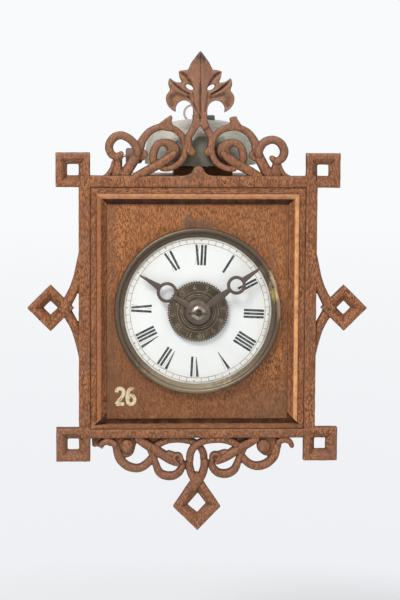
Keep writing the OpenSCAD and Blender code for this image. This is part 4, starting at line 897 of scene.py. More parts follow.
def metal(name, bright, tarnished, spots, cover, size, smooth, rough, metallic=1.0, depth=0.00008,
          marks=(), dust=0.12, sides=0.0):
    """A metal finish; cover is how much of it is tarnished, in patches that get finer with size."""
    made, tree, shader, where, shape = finish(name)
    aged = placed(tree, TARNISH, Position=where, Metal=colour(*bright), Tarnish=colour(*tarnished),
                  Spot=colour(*spots), Cover=cover, Size=size, Smooth=smooth, Rough=rough)
    base = with_marks(tree, where, aged["Color"], marks, breakup=420.0)
    # Painted shade on the sides that turn away from the front.
    if sides:
        base = placed(tree, PAINTED_SIDE_SHADE, Color=base, Facing=shape["Normal"], Amount=sides)["Color"]
    base = placed(tree, DUST, Color=base, Facing=shape["Normal"], Position=where, Amount=dust)["Color"]
    feed(tree, shader, base, aged["Roughness"], aged["Height"], depth, strength=0.5)
    shader.inputs["Metallic"].default_value = metallic
    return made


def enamel_white():
    """White enamel, a little cream and dirty toward its rim."""
    made, tree, shader, where, _ = finish("enamel_white")
    far = distance_from(tree, where, place(0, 0, 0), (1, 0, 1))
    cloudy = speckle(tree, where, 34.0, 4.0, 0.6)
    share = between(tree, cloudy, 0.35, 0.7, 0.0, 0.6)
    base = mixed(tree, share, colour(238, 240, 239), colour(229, 232, 231))
    rim = maths(tree, "ADD", far, between(tree, cloudy, 0.3, 0.7, -0.003, 0.003))
    base = mixed(tree, between(tree, rim, 46 * MM, 57 * MM, 0.0, 0.55), base, colour(226, 220, 202))
    base = mixed(tree, between(tree, rim, 54.5 * MM, 58.5 * MM, 0.0, 0.75), base, colour(150, 138, 116))
    specks = speckle(tree, where, 900.0, 2.0, 0.5)
    base = mixed(tree, between(tree, specks, 0.74, 0.8, 0.0, 0.5), base, colour(120, 112, 100))
    rough = between(tree, cloudy, 0.3, 0.7, 0.16, 0.26)
    feed(tree, shader, base, rough, cloudy, depth=0.0004, strength=0.15)
    shader.inputs["Coat Weight"].default_value = 0.5
    shader.inputs["Coat Roughness"].default_value = 0.1
    return made


def paint(name, shade, under, loss, size=700.0):
    """A paint finish; loss is how much of it is gone."""
    made, tree, shader, where, _ = finish(name)
    old = placed(tree, WORN_PAINT, Position=where, Paint=colour(*shade), Under=colour(*under), Loss=loss,
                 Size=size)
    feed(tree, shader, old["Color"], old["Roughness"], old["Height"], depth=0.00005, strength=0.4)
    return made


# In the wood finishes below, hollows sets the painted shade in hollows and creases, and sides sets the
# painted shade on sides that turn away from the front.
CARVED = dict(light=(176, 116, 76), middle=(136, 86, 57), dark=(92, 56, 38), pore=(56, 30, 20))
CASE = dict(flecks=0.5, wear=0.8, hollows=0.4, worn=(190, 148, 106))
CASE_SHADES = dict(light=(168, 122, 80), middle=(138, 94, 60), dark=(100, 64, 42), pore=(66, 40, 28))
carved_wood = wood(
    "carved_wood", **CARVED, flecks=1.15, wear=0.8, hollows=1.0, grey=0.4, dust=0.15, edge=0.51, sides=0.85,
    worn=(206, 156, 118), bands=[("z", 155, 62, (140, 104, 86), 0.42), ("z", -132, 46, (134, 98, 80), 0.4)],
    marks=[((1, -105, 163), 34, (1, 1, 1), (146, 108, 88), 0.55),
           ((1, -104, 194), 8, (1.2, 0.3, 0.9), (70, 60, 56), 0.95)])
# The bright bands on the beads are partly rubbed bare wood and partly painted highlight. The right one faces
# the light and is the brighter.
moulding_upright = wood(
    "moulding_upright", **CARVED, flecks=1.2, wear=0.7, hollows=0.9, grey=0.15, dust=0.05, shift=0.07,
    bands=[("x", -74.2, 1.9, (170, 110, 70), 0.7), ("x", 74.2, 2.0, (232, 168, 114), 1.0)])
# The pale band is a painted highlight on the top moulding's lit lower lip. The dark band darkens the bottom
# moulding's strip.
moulding_level = wood(
    "moulding_level", **CARVED, grain="x", flecks=1.2, wear=0.7, hollows=0.35, grey=0.15, dust=0.1,
    shift=0.03, bands=[("z", 86.2, 2.6, (204, 148, 106), 0.75), ("z", -88, 3.4, (112, 72, 48), 0.6)])
# Painted shade: the dark band under the top moulding is its shadow, and the wide low band darkens the panel
# towards the bottom as the light falls off. The left strip is darker both as a darker board and as painted
# shade from the left moulding. The right strip and the large lower-left mark are simply darker. The two small
# grey marks at the top are soot.
panel_wood = wood(
    "panel_wood", light=(180, 116, 68), middle=(146, 89, 51), dark=(102, 60, 35), pore=(62, 32, 19),
    flecks=1.3, wear=0.3, hollows=0.3, grey=0.14, dust=0.04, shift=0.11,
    bands=[("z", 82.5, 4.2, (92, 56, 36), 0.9), ("x", -68, 9, (104, 68, 46), 0.6),
           ("x", 68, 4, (104, 68, 46), 0.5), ("z", -86, 40, (100, 62, 40), 0.55)],
    marks=[((-7, -100, 66), 6.5, (1, 1, 1.1), (86, 72, 66), 0.7),
           ((6, -100, 65), 8, (0.8, 1, 1.3), (92, 74, 66), 0.55),
           ((-71, -100, -40), 17, (1.5, 1, 0.4), (112, 84, 66), 0.4),
           ((-58, -100, -50), 30, (1, 1, 0.8), (104, 68, 46), 0.6),
           ((60, -100, -74), 20, (0.6, 1, 1.6), (120, 92, 72), 0.3)])
# Painted shade: the two dark bands are the shadow in the channels above and below the panel.
board_wood = wood(
    "board_wood", light=(150, 98, 62), middle=(116, 73, 46), dark=(80, 47, 30), pore=(50, 27, 18),
    wear=0.4, hollows=0.5, grey=0.3, dust=0.25, shift=0.21,
    bands=[("z", -85.5, 5, (52, 28, 17), 1.0), ("z", 83, 6, (52, 28, 17), 1.0)])
case_wood = wood("case_wood", **CASE, **CASE_SHADES, grey=0.35, dust=0.35, shift=0.31)
case_wood_level = wood("case_wood_level", **CASE, **CASE_SHADES, grain="x", grey=0.35, dust=0.4, shift=0.41)
# Lighter wood for the bell block: painted light, since the block otherwise lies in shade under the bell and
# crest.
case_wood_painted_light = wood("case_wood_painted_light", **CASE, light=(206, 148, 104), middle=(180, 122, 80),
                      dark=(130, 84, 54), pore=(84, 50, 34), grain="y", grey=0.3, dust=0.4, shift=0.51)

WORN_AT = math.radians(77)  # where the bezel is dented and rubbed bright
bezel_brass = metal(
    "bezel_brass", (146, 126, 98), (98, 84, 70), (62, 52, 44), cover=0.7, size=45.0, smooth=0.32,
    rough=0.46, metallic=0.8, depth=0.00012,
    marks=[((60.4 * math.sin(WORN_AT), -104.5, 60.4 * math.cos(WORN_AT)), 6.5, (1.2, 0.4, 1),
            (178, 156, 92), 0.9),
           # Painted highlights: these three pale marks along the right of the bead are glints of light.
           ((56.5, -104, 25.5), 7, (2.2, 0.3, 0.9), (200, 172, 146), 0.75),
           ((60, -104, 17), 6, (2.4, 0.3, 0.8), (206, 182, 150), 0.75),
           ((61.6, -104, 4), 9, (3, 0.3, 0.8), (170, 146, 116), 0.5),
           # Paler grey brass low on the bezel: painted light where the lower slope faces up.
           ((-16, -105, -58), 30, (0.7, 0.3, 1.2), (150, 138, 116), 0.6)])
hand_brass = metal(
    "hand_brass", (136, 114, 98), (94, 82, 75), (62, 54, 48), cover=0.7, size=90.0, smooth=0.4, rough=0.55,
    metallic=0.6, marks=[((2, -110, -4), 9, (1, 0.05, 1), (130, 118, 100), 0.6)])
# The dark sides are painted shade on the teeth's edges, and the first mark is a painted shadow under the
# hands' hub.
disc_brass = metal(
    "disc_brass", (112, 98, 78), (78, 68, 57), (42, 36, 30), cover=0.6, size=120.0, smooth=0.4, rough=0.55,
    metallic=0.5, depth=0.0006, sides=0.8,
    marks=[((-2, -106, -12), 9, (0.9, 0.1, 1.4), (62, 46, 38), 0.7),
           ((-12, -106, 6), 8, (1, 0.1, 1), (98, 78, 66), 0.6)])
figure_brass = metal(
    "figure_brass", (176, 158, 132), (136, 120, 100), (78, 66, 54), cover=0.55, size=300.0, smooth=0.4,
    rough=0.55, metallic=0.5)
nut_silver = metal(
    "nut_silver", (204, 194, 180), (132, 118, 104), (60, 52, 44), cover=0.5, size=200.0, smooth=0.25,
    rough=0.42, metallic=0.8, depth=0.0006)
pin_steel = metal(
    "pin_steel", (112, 100, 90), (70, 60, 54), (44, 38, 34), cover=0.6, size=200.0, smooth=0.3, rough=0.5,
    metallic=0.7)
movement_brass = metal(
    "movement_brass", (198, 164, 92), (150, 118, 66), (96, 74, 44), cover=0.36, size=50.0, smooth=0.26,
    rough=0.42)
movement_steel = metal(
    "movement_steel", (156, 154, 150), (104, 96, 90), (66, 56, 50), cover=0.4, size=90.0, smooth=0.26,
    rough=0.45)
hammer_iron = metal(
    "hammer_iron", (140, 124, 110), (112, 92, 78), (72, 56, 48), cover=0.66, size=120.0, smooth=0.45,
    rough=0.65, metallic=0.5)
# The two dark marks on the lower bell are painted shade and a painted reflection of the wood below it. The
# high dust is partly dust and partly painted light on its top.
bell_metal = metal(
    "bell_metal", (188, 188, 176), (166, 162, 146), (124, 118, 102), cover=0.5, size=26.0, smooth=0.42,
    rough=0.55, metallic=0.35, depth=0.00006, dust=0.75,
    marks=[((3, -95, 120), 17, (0.85, 0.1, 0.6), (96, 90, 72), 0.8),
           ((3, -95, 106), 30, (0.5, 0.1, 3), (100, 92, 78), 0.7)])
filed_iron = metal(
    "filed_iron", (116, 116, 110), (92, 90, 84), (62, 58, 52), cover=0.55, size=120.0, smooth=0.35,
    rough=0.5, metallic=0.6)
eye_iron = metal(
    "eye_iron", (190, 190, 186), (160, 158, 152), (120, 114, 106), cover=0.4, size=90.0, smooth=0.35,
    rough=0.5, metallic=0.5)
numeral_black = paint("numeral_black", (34, 36, 38), (96, 98, 98), loss=0.03)
track_grey = paint("track_grey", (78, 74, 70), (150, 146, 138), loss=0.06)
number_cream = paint("number_cream", (216, 202, 166), (160, 118, 84), loss=0.02, size=420.0)
white_enamel = enamel_white()


# Carved front

def carved_piece(name, solids, cad_node):
    """A board of the carved front, cut as one skin with knife marks."""
    mesh = grown_together(name + "_blank", solids, CARVED_CELL, rubs=2)
    knife_marks(mesh)
    mesh.shade_smooth()
    settle(add_object(name, mesh), carved_wood, "root", [cad_node])


carved_piece("carved_crest", crest_solids(), "crest_board")
carved_piece("carved_apron", apron_solids(), "apron_board")
carved_piece("carved_stile_left", stile_solids(-1), "left_stile")
carved_piece("carved_stile_right", stile_solids(1), "right_stile")


# Mouldings around the panel: profiles of (distance from the outer edge, depth), run between two mitres

MOULD_X = FRAME_X - BAR_W
MOULD_TOP = RAIL_TOP - BAR_W
MOULD_STEPS = 60
STRIP_FACE = FRET_FRONT + 1.9
STRIP_W = 4.6
BEAD_W = 4.2
BEAD_H = 1.2
SLOPE_W = 3.4


def moulding_face(slope):
    """A flat strip, a round bead and a slope down to the panel, or a straight end without one."""
    face = [(0.0, FRET_BACK), (0.0, STRIP_FACE + 0.5), (0.15, STRIP_FACE + 0.12), (0.5, STRIP_FACE),
            (STRIP_W - 0.3, STRIP_FACE), (STRIP_W - 0.05, STRIP_FACE + 0.35)]
    for k in range(1, 12):
        a = math.pi * k / 12
        face.append((STRIP_W + BEAD_W / 2 * (1 - math.cos(a)), STRIP_FACE - BEAD_H * math.sin(a)))
    edge = STRIP_W + BEAD_W
    if slope:
        face += [(edge + 0.05, STRIP_FACE + 0.25), (edge + slope, PANEL_FACE - 0.4)]
    else:
        face.append((edge, STRIP_FACE + 0.3))
    return [*face, (edge + slope, FRET_BACK)]


LOW_FACE = [(0.0, FRET_BACK), (0.0, STRIP_FACE + 0.4), (0.4, STRIP_FACE), (2.3, STRIP_FACE),
            (2.8, STRIP_FACE + 0.15), (3.1, STRIP_FACE + 0.8), (3.1, FRET_BACK)]


def moulding(word, profile, level, edge, ends, inward, material):
    """A moulding whose outer edge lies at edge; it grows inward and its ends are mitred."""
    rings = []
    for k in range(MOULD_STEPS + 1):
        ring = []
        for u, y in profile:
            low, high = ends[0] + u, ends[1] - u
            along = low + (high - low) * k / MOULD_STEPS
            wave = 0.05 * noise.noise(Vector((along * 0.05, u * 0.3, edge))) if y < FRET_BACK - 1 else 0
            across = edge + inward * u
            ring.append((along, y + wave, across) if level else (across, y + wave, along))
        rings.append(ring)
    add_piece(f"moulding_{word}", [tube(rings)], material, [f"{word}_moulding"], smooth=40)


moulding("top", moulding_face(0), True, MOULD_TOP, (-MOULD_X, MOULD_X), -1, moulding_level)
moulding("bottom", LOW_FACE, True, MOULD_LOW, (-MOULD_X, MOULD_X), 1, moulding_level)
for side, word in ((-1, "left"), (1, "right")):
    moulding(word, moulding_face(SLOPE_W), False, side * MOULD_X, (MOULD_LOW, MOULD_TOP), -side,
             moulding_upright)


# Turned pieces around the dial's axis

DIAL_STEPS = 160
RING_STEPS = 240


def turned(profile, steps=DIAL_STEPS, warp=None):
    """A closed (radius, depth) profile turned about the dial's axis; warp may move each point."""
    rings = []
    for k in range(steps):
        a = math.tau * k / steps
        ring = []
        for r, y in profile:
            if warp:
                r, y = warp(a, r, y)
            ring.append((r * math.sin(a), y, r * math.cos(a)))
        rings.append(ring)
    return tube(rings, closed=True)


DIAL_R = 59.4
DIAL_EDGE = 0.3
DOME_RIM = PANEL_FACE - 1.0
DOME_H = 3.0
BEZEL_R = 62.8
BEZEL_IN = 55.7
BEZEL_BEAD = 1.9
BEZEL_CROWN = PANEL_FACE - 6.4 + BEZEL_BEAD
PIPE_HOLE = 4.79
DENT_SPAN = 0.085  # radians


def dome(r):
    """The depth of the enamel's face."""
    return DOME_RIM - DOME_H * (1 - (r / DIAL_R) ** 2)


def dial_profile():
    """A flat back, a thin rim and a face that rises toward its middle."""
    face = [(PIPE_HOLE, PANEL_FACE), (DIAL_R - DIAL_EDGE, PANEL_FACE), (DIAL_R, PANEL_FACE - DIAL_EDGE),
            (DIAL_R, DOME_RIM + 0.1)]
    for k in range(25):
        r = DIAL_R - 0.2 + (PIPE_HOLE + 0.5 - DIAL_R) * k / 24
        face.append((r, dome(r)))
    return face + [(PIPE_HOLE, dome(PIPE_HOLE) + 0.35)]


def bezel_warp(a, r, y):
    """Years of knocks: a slight wave all round, and a dent at the right."""
    wave = 0.12 * noise.noise(Vector((math.sin(a) * 2.2, math.cos(a) * 2.2, 0.5)))
    outside = soft_ramp(r, 57.5, BEZEL_R)
    front = soft_ramp(y, -102.5, -106.0)
    dent = math.exp(-((a - WORN_AT) / DENT_SPAN) ** 2)
    r -= outside * (0.9 * dent - wave + 0.05)
    return r, y + front * (1.5 * dent + 0.4 * wave + 0.15)


def bezel_profile():
    """A round bead outside, and a thin lip that slopes down onto the enamel."""
    face = [(DIAL_R + 0.3, PANEL_FACE), (BEZEL_R - 0.2, PANEL_FACE), (BEZEL_R, PANEL_FACE - 0.4)]
    for k in range(13):
        a = math.pi * k / 12
        face.append((BEZEL_R - BEZEL_BEAD * (1 - math.cos(a)), BEZEL_CROWN - BEZEL_BEAD * math.sin(a)))
    inner = BEZEL_R - 2 * BEZEL_BEAD
    face += [(inner - r, BEZEL_CROWN + y) for r, y in ((0.15, 0.35), (0.6, 0.85), (1.0, 1.0))]
    face += [(BEZEL_IN + r, dome(BEZEL_IN) - y) for r, y in ((0.75, 1.55), (0.3, 1.42), (0, 1.1), (0, 0.3))]
    return face + [(DIAL_R + 0.3, DOME_RIM - 0.3)]


add_piece("dial_plate", [turned(dial_profile())], white_enamel, ["enamel_dial"], smooth=40)
add_piece("dial_bezel", [turned(bezel_profile(), RING_STEPS, bezel_warp)], bezel_brass,
          ["bezel"], smooth=50)


# Painted and raised figures: thin solids along lines of (x, z, width)

PAINT_SINK = 0.02  # how far their backs lie under the surface


def figure_line(path, surface, height, pieces=1):
    """A thin solid that follows a surface. It rises a little along its run, and each line of a figure has
    a height of its own, so that no two faces that cross lie at one height."""
    fine = []
    for a, b in zip(path, path[1:]):
        for k in range(pieces):
            fine.append([p + (q - p) * k / pieces for p, q in zip(a, b)])
    fine.append(list(path[-1]))
    rings = []
    for i, (x, z, w) in enumerate(fine):
        hx, hz = heading(fine, i)
        half = w / 2
        lift = height * (0.75 + 0.5 * i / len(fine))
        left = (x - hz * half, z + hx * half)
        right = (x + hz * half, z - hx * half)
        corners = ((left, -lift), (right, -lift), (right, PAINT_SINK), (left, PAINT_SINK))
        rings.append([(px, surface(px, pz) + up, pz) for (px, pz), up in corners])
    return tube(rings)


def on_dome(x, z):
    return dome(math.hypot(x, z))


NUMERALS = ("I", "II", "III", "IIII", "V", "VI", "VII", "VIII", "IX", "X", "XI", "XII")
THICK = 1.75
HAIR = 0.17
NUMERAL_FOOT = 34.7
NUMERAL_TOP = 50.0
LETTER_ROOM = {"I": 2.55, "V": 4.4, "X": 4.2}
# Each letter's lines as pairs of (across, width) at its foot and its top
LETTER_LINES = {"I": [((0, THICK), (0, THICK))],
                "V": [((0.5, 0.3), (-1.2, THICK * 1.25)), ((0.5, HAIR), (1.7, HAIR))],
                "X": [((1.1, THICK * 0.95), (-1.1, THICK * 0.95)), ((-1.3, HAIR), (1.3, HAIR))]}
TRACK_IN = 50.9
TRACK_OUT = 54.2
TRACK_W = 0.34
MINUTE_W = 0.32
DOT_OUT = 53.3
DOT_R = 0.5


def dial_point(turn, across, out):
    """A place on the dial: turned by degrees from the top, out from the middle and across that ray."""
    a = math.radians(turn)
    return (out * math.sin(a) + across * math.cos(a), out * math.cos(a) - across * math.sin(a))


def numerals():
    """Painted hour numerals, whose feet point to the dial's middle."""
    solids = []
    for k, text in enumerate(NUMERALS):
        turn = 30 * (k + 1) + DIAL_TURN
        start = -sum(LETTER_ROOM[c] for c in text) / 2
        for c in text:
            mid = start + LETTER_ROOM[c] / 2
            for ends in LETTER_LINES[c]:
                path = [(*dial_point(turn, mid + across, out), width)
                        for (across, width), out in zip(ends, (NUMERAL_FOOT, NUMERAL_TOP))]
                own_height = 0.045 + (0.006 * len(solids)) % 0.03
                solids.append(figure_line(path, on_dome, own_height, pieces=6))
            start += LETTER_ROOM[c]
    add_piece("hour_numerals", solids, numeral_black)


def flat_ring(r, width, surface_r, lift):
    """A thin ring on a surface, whose depth at each radius is surface_r."""
    inner, outer = r - width / 2, r + width / 2
    edges = ((inner, -lift), (outer, -lift), (outer, PAINT_SINK), (inner, PAINT_SINK))
    return turned([(q, surface_r(q) + up) for q, up in edges], RING_STEPS)


def minute_track():
    """Two rings with a line for each minute between them, and a dot for each hour."""
    solids = [flat_ring(TRACK_IN, TRACK_W, dome, 0.04), flat_ring(TRACK_OUT, TRACK_W, dome, 0.04)]
    for minute in range(60):
        if minute % 5:
            path = [(*dial_point(6 * minute + DIAL_TURN, 0, r), MINUTE_W) for r in (TRACK_IN, TRACK_OUT)]
            solids.append(figure_line(path, on_dome, 0.04, pieces=2))
    add_piece("minute_track", solids, track_grey)
    dots = []
    for hour in range(12):
        cx, cz = dial_point(30 * hour + DIAL_TURN, 0, DOT_OUT)
        ring = [(cx + DOT_R * math.sin(a), cz + DOT_R * math.cos(a))
                for a in np.linspace(0, math.tau, 12, False)]
        dots.append(tube([[(x, on_dome(x, z) + up, z) for x, z in ring] for up in (-0.05, PAINT_SINK)]))
    add_piece("five_minute_dots", dots, numeral_black)


numerals()
minute_track()

# Lines of each digit as (across, up), in shares of its height
DIGITS = {
    "0": [[(0.3, 0), (0.08, 0.2), (0.03, 0.5), (0.08, 0.8), (0.3, 1), (0.52, 0.8), (0.57, 0.5), (0.52, 0.2),
           (0.3, 0)]],
    "1": [[(0.12, 0.78), (0.34, 1), (0.34, 0)]],
    "2": [[(0.04, 0.76), (0.1, 0.93), (0.3, 1), (0.52, 0.9), (0.55, 0.7), (0.42, 0.45), (0.2, 0.22),
           (0.02, 0)], [(0.02, 0.02), (0.6, 0.02)]],
    "3": [[(0.04, 0.86), (0.2, 0.98), (0.42, 0.96), (0.55, 0.78), (0.42, 0.58), (0.24, 0.53)],
          [(0.24, 0.53), (0.48, 0.47), (0.58, 0.27), (0.46, 0.06), (0.22, 0), (0.02, 0.12)]],
    "4": [[(0.44, 0), (0.44, 1)], [(0.44, 1), (0.02, 0.3)], [(0.02, 0.3), (0.62, 0.3)]],
    "5": [[(0.54, 0.98), (0.12, 0.98)], [(0.12, 0.98), (0.07, 0.56)],
          [(0.07, 0.56), (0.3, 0.64), (0.52, 0.52), (0.58, 0.3), (0.48, 0.08), (0.24, 0), (0.03, 0.1)]],
    "6": [[(0.5, 0.92), (0.3, 1), (0.12, 0.82), (0.04, 0.45), (0.1, 0.12), (0.3, 0), (0.5, 0.1), (0.57, 0.32),
           (0.46, 0.52), (0.26, 0.56), (0.07, 0.38)]],
    "7": [[(0.02, 0.97), (0.6, 0.97)], [(0.6, 0.97), (0.36, 0.45), (0.26, 0)]],
    "8": [[(0.3, 0.54), (0.1, 0.66), (0.1, 0.88), (0.3, 1), (0.5, 0.88), (0.5, 0.66), (0.3, 0.54),
           (0.06, 0.38), (0.06, 0.12), (0.3, 0), (0.54, 0.12), (0.54, 0.38), (0.3, 0.54)]],
    "9": [[(0.53, 0.62), (0.34, 0.44), (0.14, 0.48), (0.03, 0.68), (0.1, 0.9), (0.3, 1), (0.5, 0.88),
           (0.56, 0.55), (0.48, 0.18), (0.3, 0), (0.1, 0.08)]]}
DISC_FACE = -106.5
# Raised rings of the alarm disc: (radius, width, height)
DISC_RINGS = ((15.3, 0.35, 0.22), (13.0, 0.4, 0.25), (11.6, 0.3, 0.18), (21.4, 0.3, 0.15))
DISC_DIGIT = 3.5
DISC_DIGIT_FOOT = 16.6
DISC_DIGIT_W = 0.42
DISC_TURN = -129  # degrees
NUMBER_H = 12.2
NUMBER_LINE = 2.7
NUMBER_NARROW = 0.86  # its width against that of plain digits
NUMBER_X = -54.2
NUMBER_Z = -71.3


def digit_lines(text, height, width):
    """Lines of a number, as [(across, up, width)], with its middle at zero."""
    room = 0.78 * height
    start = -room * len(text) / 2
    return [[(start + k * room + 0.09 * height + u * height, v * height, width)
             for u, v in smooth_path(path, 3 if len(path) > 2 else 1)]
            for k, c in enumerate(text) for path in DIGITS[c]]


def disc_figures():
    """Raised numbers and rings on the alarm disc, whose feet point to its middle."""
    solids = []
    for number in range(1, 13):
        for line in digit_lines(str(number), DISC_DIGIT, DISC_DIGIT_W):
            path = [(*dial_point(30 * number + DISC_TURN, u, DISC_DIGIT_FOOT + v), w) for u, v, w in line]
            own_height = 0.3 + (0.013 * len(solids)) % 0.05
            solids.append(figure_line(path, lambda x, z: DISC_FACE, own_height))
    for r, width, lift in DISC_RINGS:
        solids.append(flat_ring(r, width, lambda q: DISC_FACE, lift))
    add_piece("alarm_disc_figures", solids, figure_brass, body="alarm_setting", smooth=40)


def painted_number():
    """A plain painted number low on the left of the panel."""
    solids = []
    for line in digit_lines("26", NUMBER_H, NUMBER_LINE):
        path = [(NUMBER_X + u * NUMBER_NARROW, NUMBER_Z + v, w) for u, v, w in line]
        own_height = 0.06 + 0.03 * len(solids)
        solids.append(figure_line(path, lambda x, z: PANEL_FACE, own_height))
    add_piece("painted_number", solids, number_cream)


disc_figures()
painted_number()


# CAD nodes: edges eased on a copy where the eye gets close, plain finishes inside

SAME_SPOT = 1e-6  # metres
FLAT_ENOUGH = math.radians(1)


def eased(cad_node, name, material, width, angle=30, reshape=None):
    """A copy of a CAD node with eased edges, which stands for it."""
    source = frame["nodes"][cad_node]
    mesh = source.data.copy()
    mesh.name = name
    work = bmesh.new()
    work.from_mesh(mesh)
    bmesh.ops.remove_doubles(work, verts=work.verts, dist=SAME_SPOT)
    bmesh.ops.dissolve_limit(work, angle_limit=FLAT_ENOUGH, verts=work.verts, edges=work.edges)
    if reshape:
        for corner in work.verts:
            reshape(corner.co)
    work.to_mesh(mesh)
    work.free()
    blank = add_object(name, mesh)
    ease = blank.modifiers.new("ease", "BEVEL")
    ease.width = width * MM
    ease.segments = 2
    ease.limit_method = "ANGLE"
    ease.angle_limit = math.radians(angle)
    ease.use_clamp_overlap = True
    mesh = evaluated(blank)
    smooth_by_angle(mesh, 30)
    settle(add_object(name, mesh), material, source["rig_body"], [cad_node])


def dress(cad_node, material, slot):
    """Gives a CAD node its finish in place."""
    thing = frame["nodes"][cad_node]
    thing.data.materials.clear()
    thing.data.materials.append(material)
    for face in thing.data.polygons:
        face.material_index = 0


def lower_edge_down(spot):
    """The photographed panel reaches a millimetre lower."""
    if spot.z < place(0, 0, -60).z:
        spot.z -= 1.1 * MM


eased("dial_panel", "panel_board", panel_wood, width=0.35, angle=40, reshape=lower_edge_down)
eased("minute_hand", "minute_pointer", hand_brass, width=0.2)
eased("hour_hand", "hour_pointer", hand_brass, width=0.22)
eased("hand_nut", "hand_nut_turned", nut_silver, width=0.25, angle=25)
eased("bell_nut", "bell_nut_filed", filed_iron, width=0.4)
eased("hammer_head", "hammer_head_worn", hammer_iron, width=0.5)
eased("front_board", "front_board_worn", board_wood, width=0.6, angle=40)
for material, cad_nodes in (
        (case_wood_level, ("top_board", "bottom_board")),
        (case_wood, ("back_board", "corner_posts", "left_door", "right_door")),
        (case_wood_painted_light, ("bell_block",)), (case_wood, ("left_catch", "right_catch"))):
    for cad_node in cad_nodes:
        eased(cad_node, cad_node + "_worn", material, width=0.6, angle=40)

SHOWN_METALS = {"alarm_disc": (disc_brass, "tarnished_brass"), "taper_pin": (pin_steel, "steel"),
                "hanger_eye": (eye_iron, "steel"), "bell": (bell_metal, "bell_metal"),
                "centre_arbor": (pin_steel, "steel")}
STEEL_NODES = ("great_arbor", "third_arbor", "escape_arbor", "escape_wheel", "anchor", "anchor_arbor",
               "suspension_cock", "alarm_arbor", "hammer_arbor", "hammer_wire", "release_lever", "bell_post",
               "hinge_pins", "click", "cannon_pinion", "dial_feet")
for cad_node, thing in frame["nodes"].items():
    if thing.hide_render:
        continue
    plain = (movement_steel, "steel") if cad_node in STEEL_NODES else (movement_brass, "brass")
    dress(cad_node, *SHOWN_METALS.get(cad_node, plain))


# Floor, light and camera

FLOOR_Z = -322.0
FLOOR_RINGS = (0.001, 600, 6000)
FLOOR_SIDES = 96
FLOOR_FADE = (0.12, 0.5)  # metres from the clock, over which the floor turns into the backdrop
SKY_FADE = (0.5, 5.0)  # metres over which the backdrop turns into the sky's colour
SKY = colour(249, 250, 252)


def seen_directly(tree):
    """One for what the camera, metal or glass sees, and zero for what only lights the object."""
    path = tree.nodes.new("ShaderNodeLightPath").outputs
    seen = maths(tree, "ADD", path["Is Camera Ray"], path["Is Glossy Ray"], True)
    return maths(tree, "ADD", seen, path["Is Transmission Ray"], True)


def floor_mesh():
    """A wide flat disc under the clock."""
    points = [place(r * math.sin(a), -100 + r * math.cos(a), FLOOR_Z)
              for r in FLOOR_RINGS for a in np.linspace(0, math.tau, FLOOR_SIDES, False)]
    faces = [tuple(reversed(range(FLOOR_SIDES)))]
    for start in range(0, (len(FLOOR_RINGS) - 1) * FLOOR_SIDES, FLOOR_SIDES):
        for k in range(FLOOR_SIDES):
            m = (k + 1) % FLOOR_SIDES
            faces.append((start + k, start + FLOOR_SIDES + k, start + FLOOR_SIDES + m, start + m))
    mesh = bpy.data.meshes.new("pale_floor")
    mesh.from_pydata(points, [], faces)
    return mesh


def pale_floor():
    """A pale floor that keeps the shadow and turns into the backdrop's colour with distance."""
    floor = add_object("pale_floor", floor_mesh())
    made, tree, shader, where, _ = finish("pale_floor")
    cloudy = speckle(tree, where, 3.0, 3.0, 0.5)
    shade = mixed(tree, between(tree, cloudy, 0.35, 0.65), colour(242, 243, 245), colour(245, 246, 248))
    connect(tree, shader.inputs, Base_Color=shade)
    shader.inputs["Roughness"].default_value = 0.9
    shader.inputs["Specular IOR Level"].default_value = 0.1
    away = distance_from(tree, where, place(0, -60, FLOOR_Z))
    far_colour = mixed(tree, between(tree, away, *SKY_FADE), colour(239, 240, 243), SKY)
    glow = node(tree, "ShaderNodeEmission", Color=far_colour, Strength=1.0)
    share = times(tree, between(tree, away, *FLOOR_FADE), seen_directly(tree))
    blend = node(tree, "ShaderNodeMixShader", i0=share, i1=shader.outputs[0], i2=glow.outputs[0])
    connect(tree, tree.nodes["Material Output"].inputs, Surface=blend.outputs[0])
    floor.data.materials.append(made)


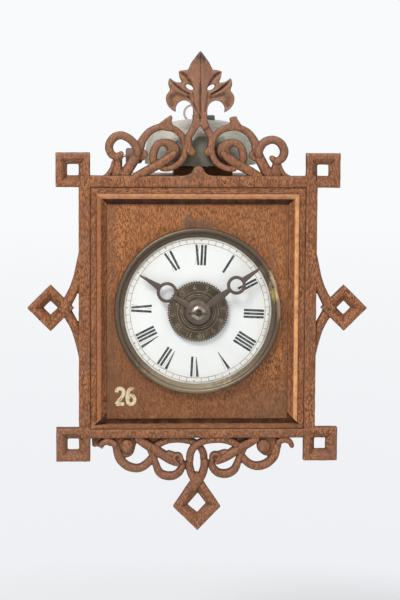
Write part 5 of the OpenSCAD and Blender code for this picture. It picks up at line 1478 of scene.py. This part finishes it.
def soft_air():
    """A dim even light from all round, in front of a pale backdrop."""
    world = bpy.data.worlds.new("soft_studio")
    bpy.context.scene.world = world
    world.use_nodes = True
    tree = world.node_tree
    light = tree.nodes["Background"]
    light.inputs["Color"].default_value = (1.0, 0.995, 0.99, 1.0)
    light.inputs["Strength"].default_value = 0.25
    pale = node(tree, "ShaderNodeBackground", Color=SKY, Strength=1.0)
    blend = node(tree, "ShaderNodeMixShader", i0=seen_directly(tree), i1=light.outputs[0], i2=pale.outputs[0])
    connect(tree, tree.nodes["World Output"].inputs, Surface=blend.outputs[0])


LAMP_AIM = Vector((0, -0.08, -0.14))


def soft_lamp(name, spot, size, watts, tint=(1, 1, 1)):
    """A square lamp at a place in metres that shines at the clock's middle."""
    lamp = bpy.data.lights.new(name, "AREA")
    lamp.shape = "SQUARE"
    lamp.size = size
    lamp.energy = watts
    lamp.color = tint
    thing = add_object(name, lamp)
    thing.location = Vector(spot)
    thing.rotation_mode = "QUATERNION"
    thing.rotation_quaternion = (LAMP_AIM - Vector(spot)).to_track_quat("-Z", "Y")
    thing.visible_camera = False


VIEW_TURN = math.radians(-3)
VIEW_RISE = math.radians(6.5)
VIEW_ROLL = math.radians(0.3)
VIEW_AWAY = 1.5  # metres
VIEW_AIM = place(1.5, FRET_FRONT, 8.7)


def photo_view():
    """The photograph's view: a little from the left and from above."""
    back = Vector((math.sin(VIEW_TURN) * math.cos(VIEW_RISE), -math.cos(VIEW_TURN) * math.cos(VIEW_RISE),
                   math.sin(VIEW_RISE)))
    lens = bpy.data.cameras.new("photo_view")
    lens.lens = 120
    lens.sensor_width = 36
    lens.clip_start = 0.1
    lens.clip_end = 50
    thing = add_object("photo_view", lens)
    thing.location = VIEW_AIM + back * VIEW_AWAY
    thing.rotation_euler = (-back).to_track_quat("-Z", "Y").to_matrix().to_euler()
    thing.rotation_euler.rotate_axis("Z", VIEW_ROLL)
    bpy.context.scene.camera = thing


pale_floor()
soft_air()
soft_lamp("key_left", (-0.85, -1.35, 1.35), size=0.8, watts=36, tint=(1, 0.99, 0.97))
soft_lamp("fill_right", (1.3, -1.6, 0.25), size=1.4, watts=6)
soft_lamp("top", (0.1, -0.1, 1.5), size=1.3, watts=9)
photo_view()
bpy.context.scene.view_settings.view_transform = "Standard"
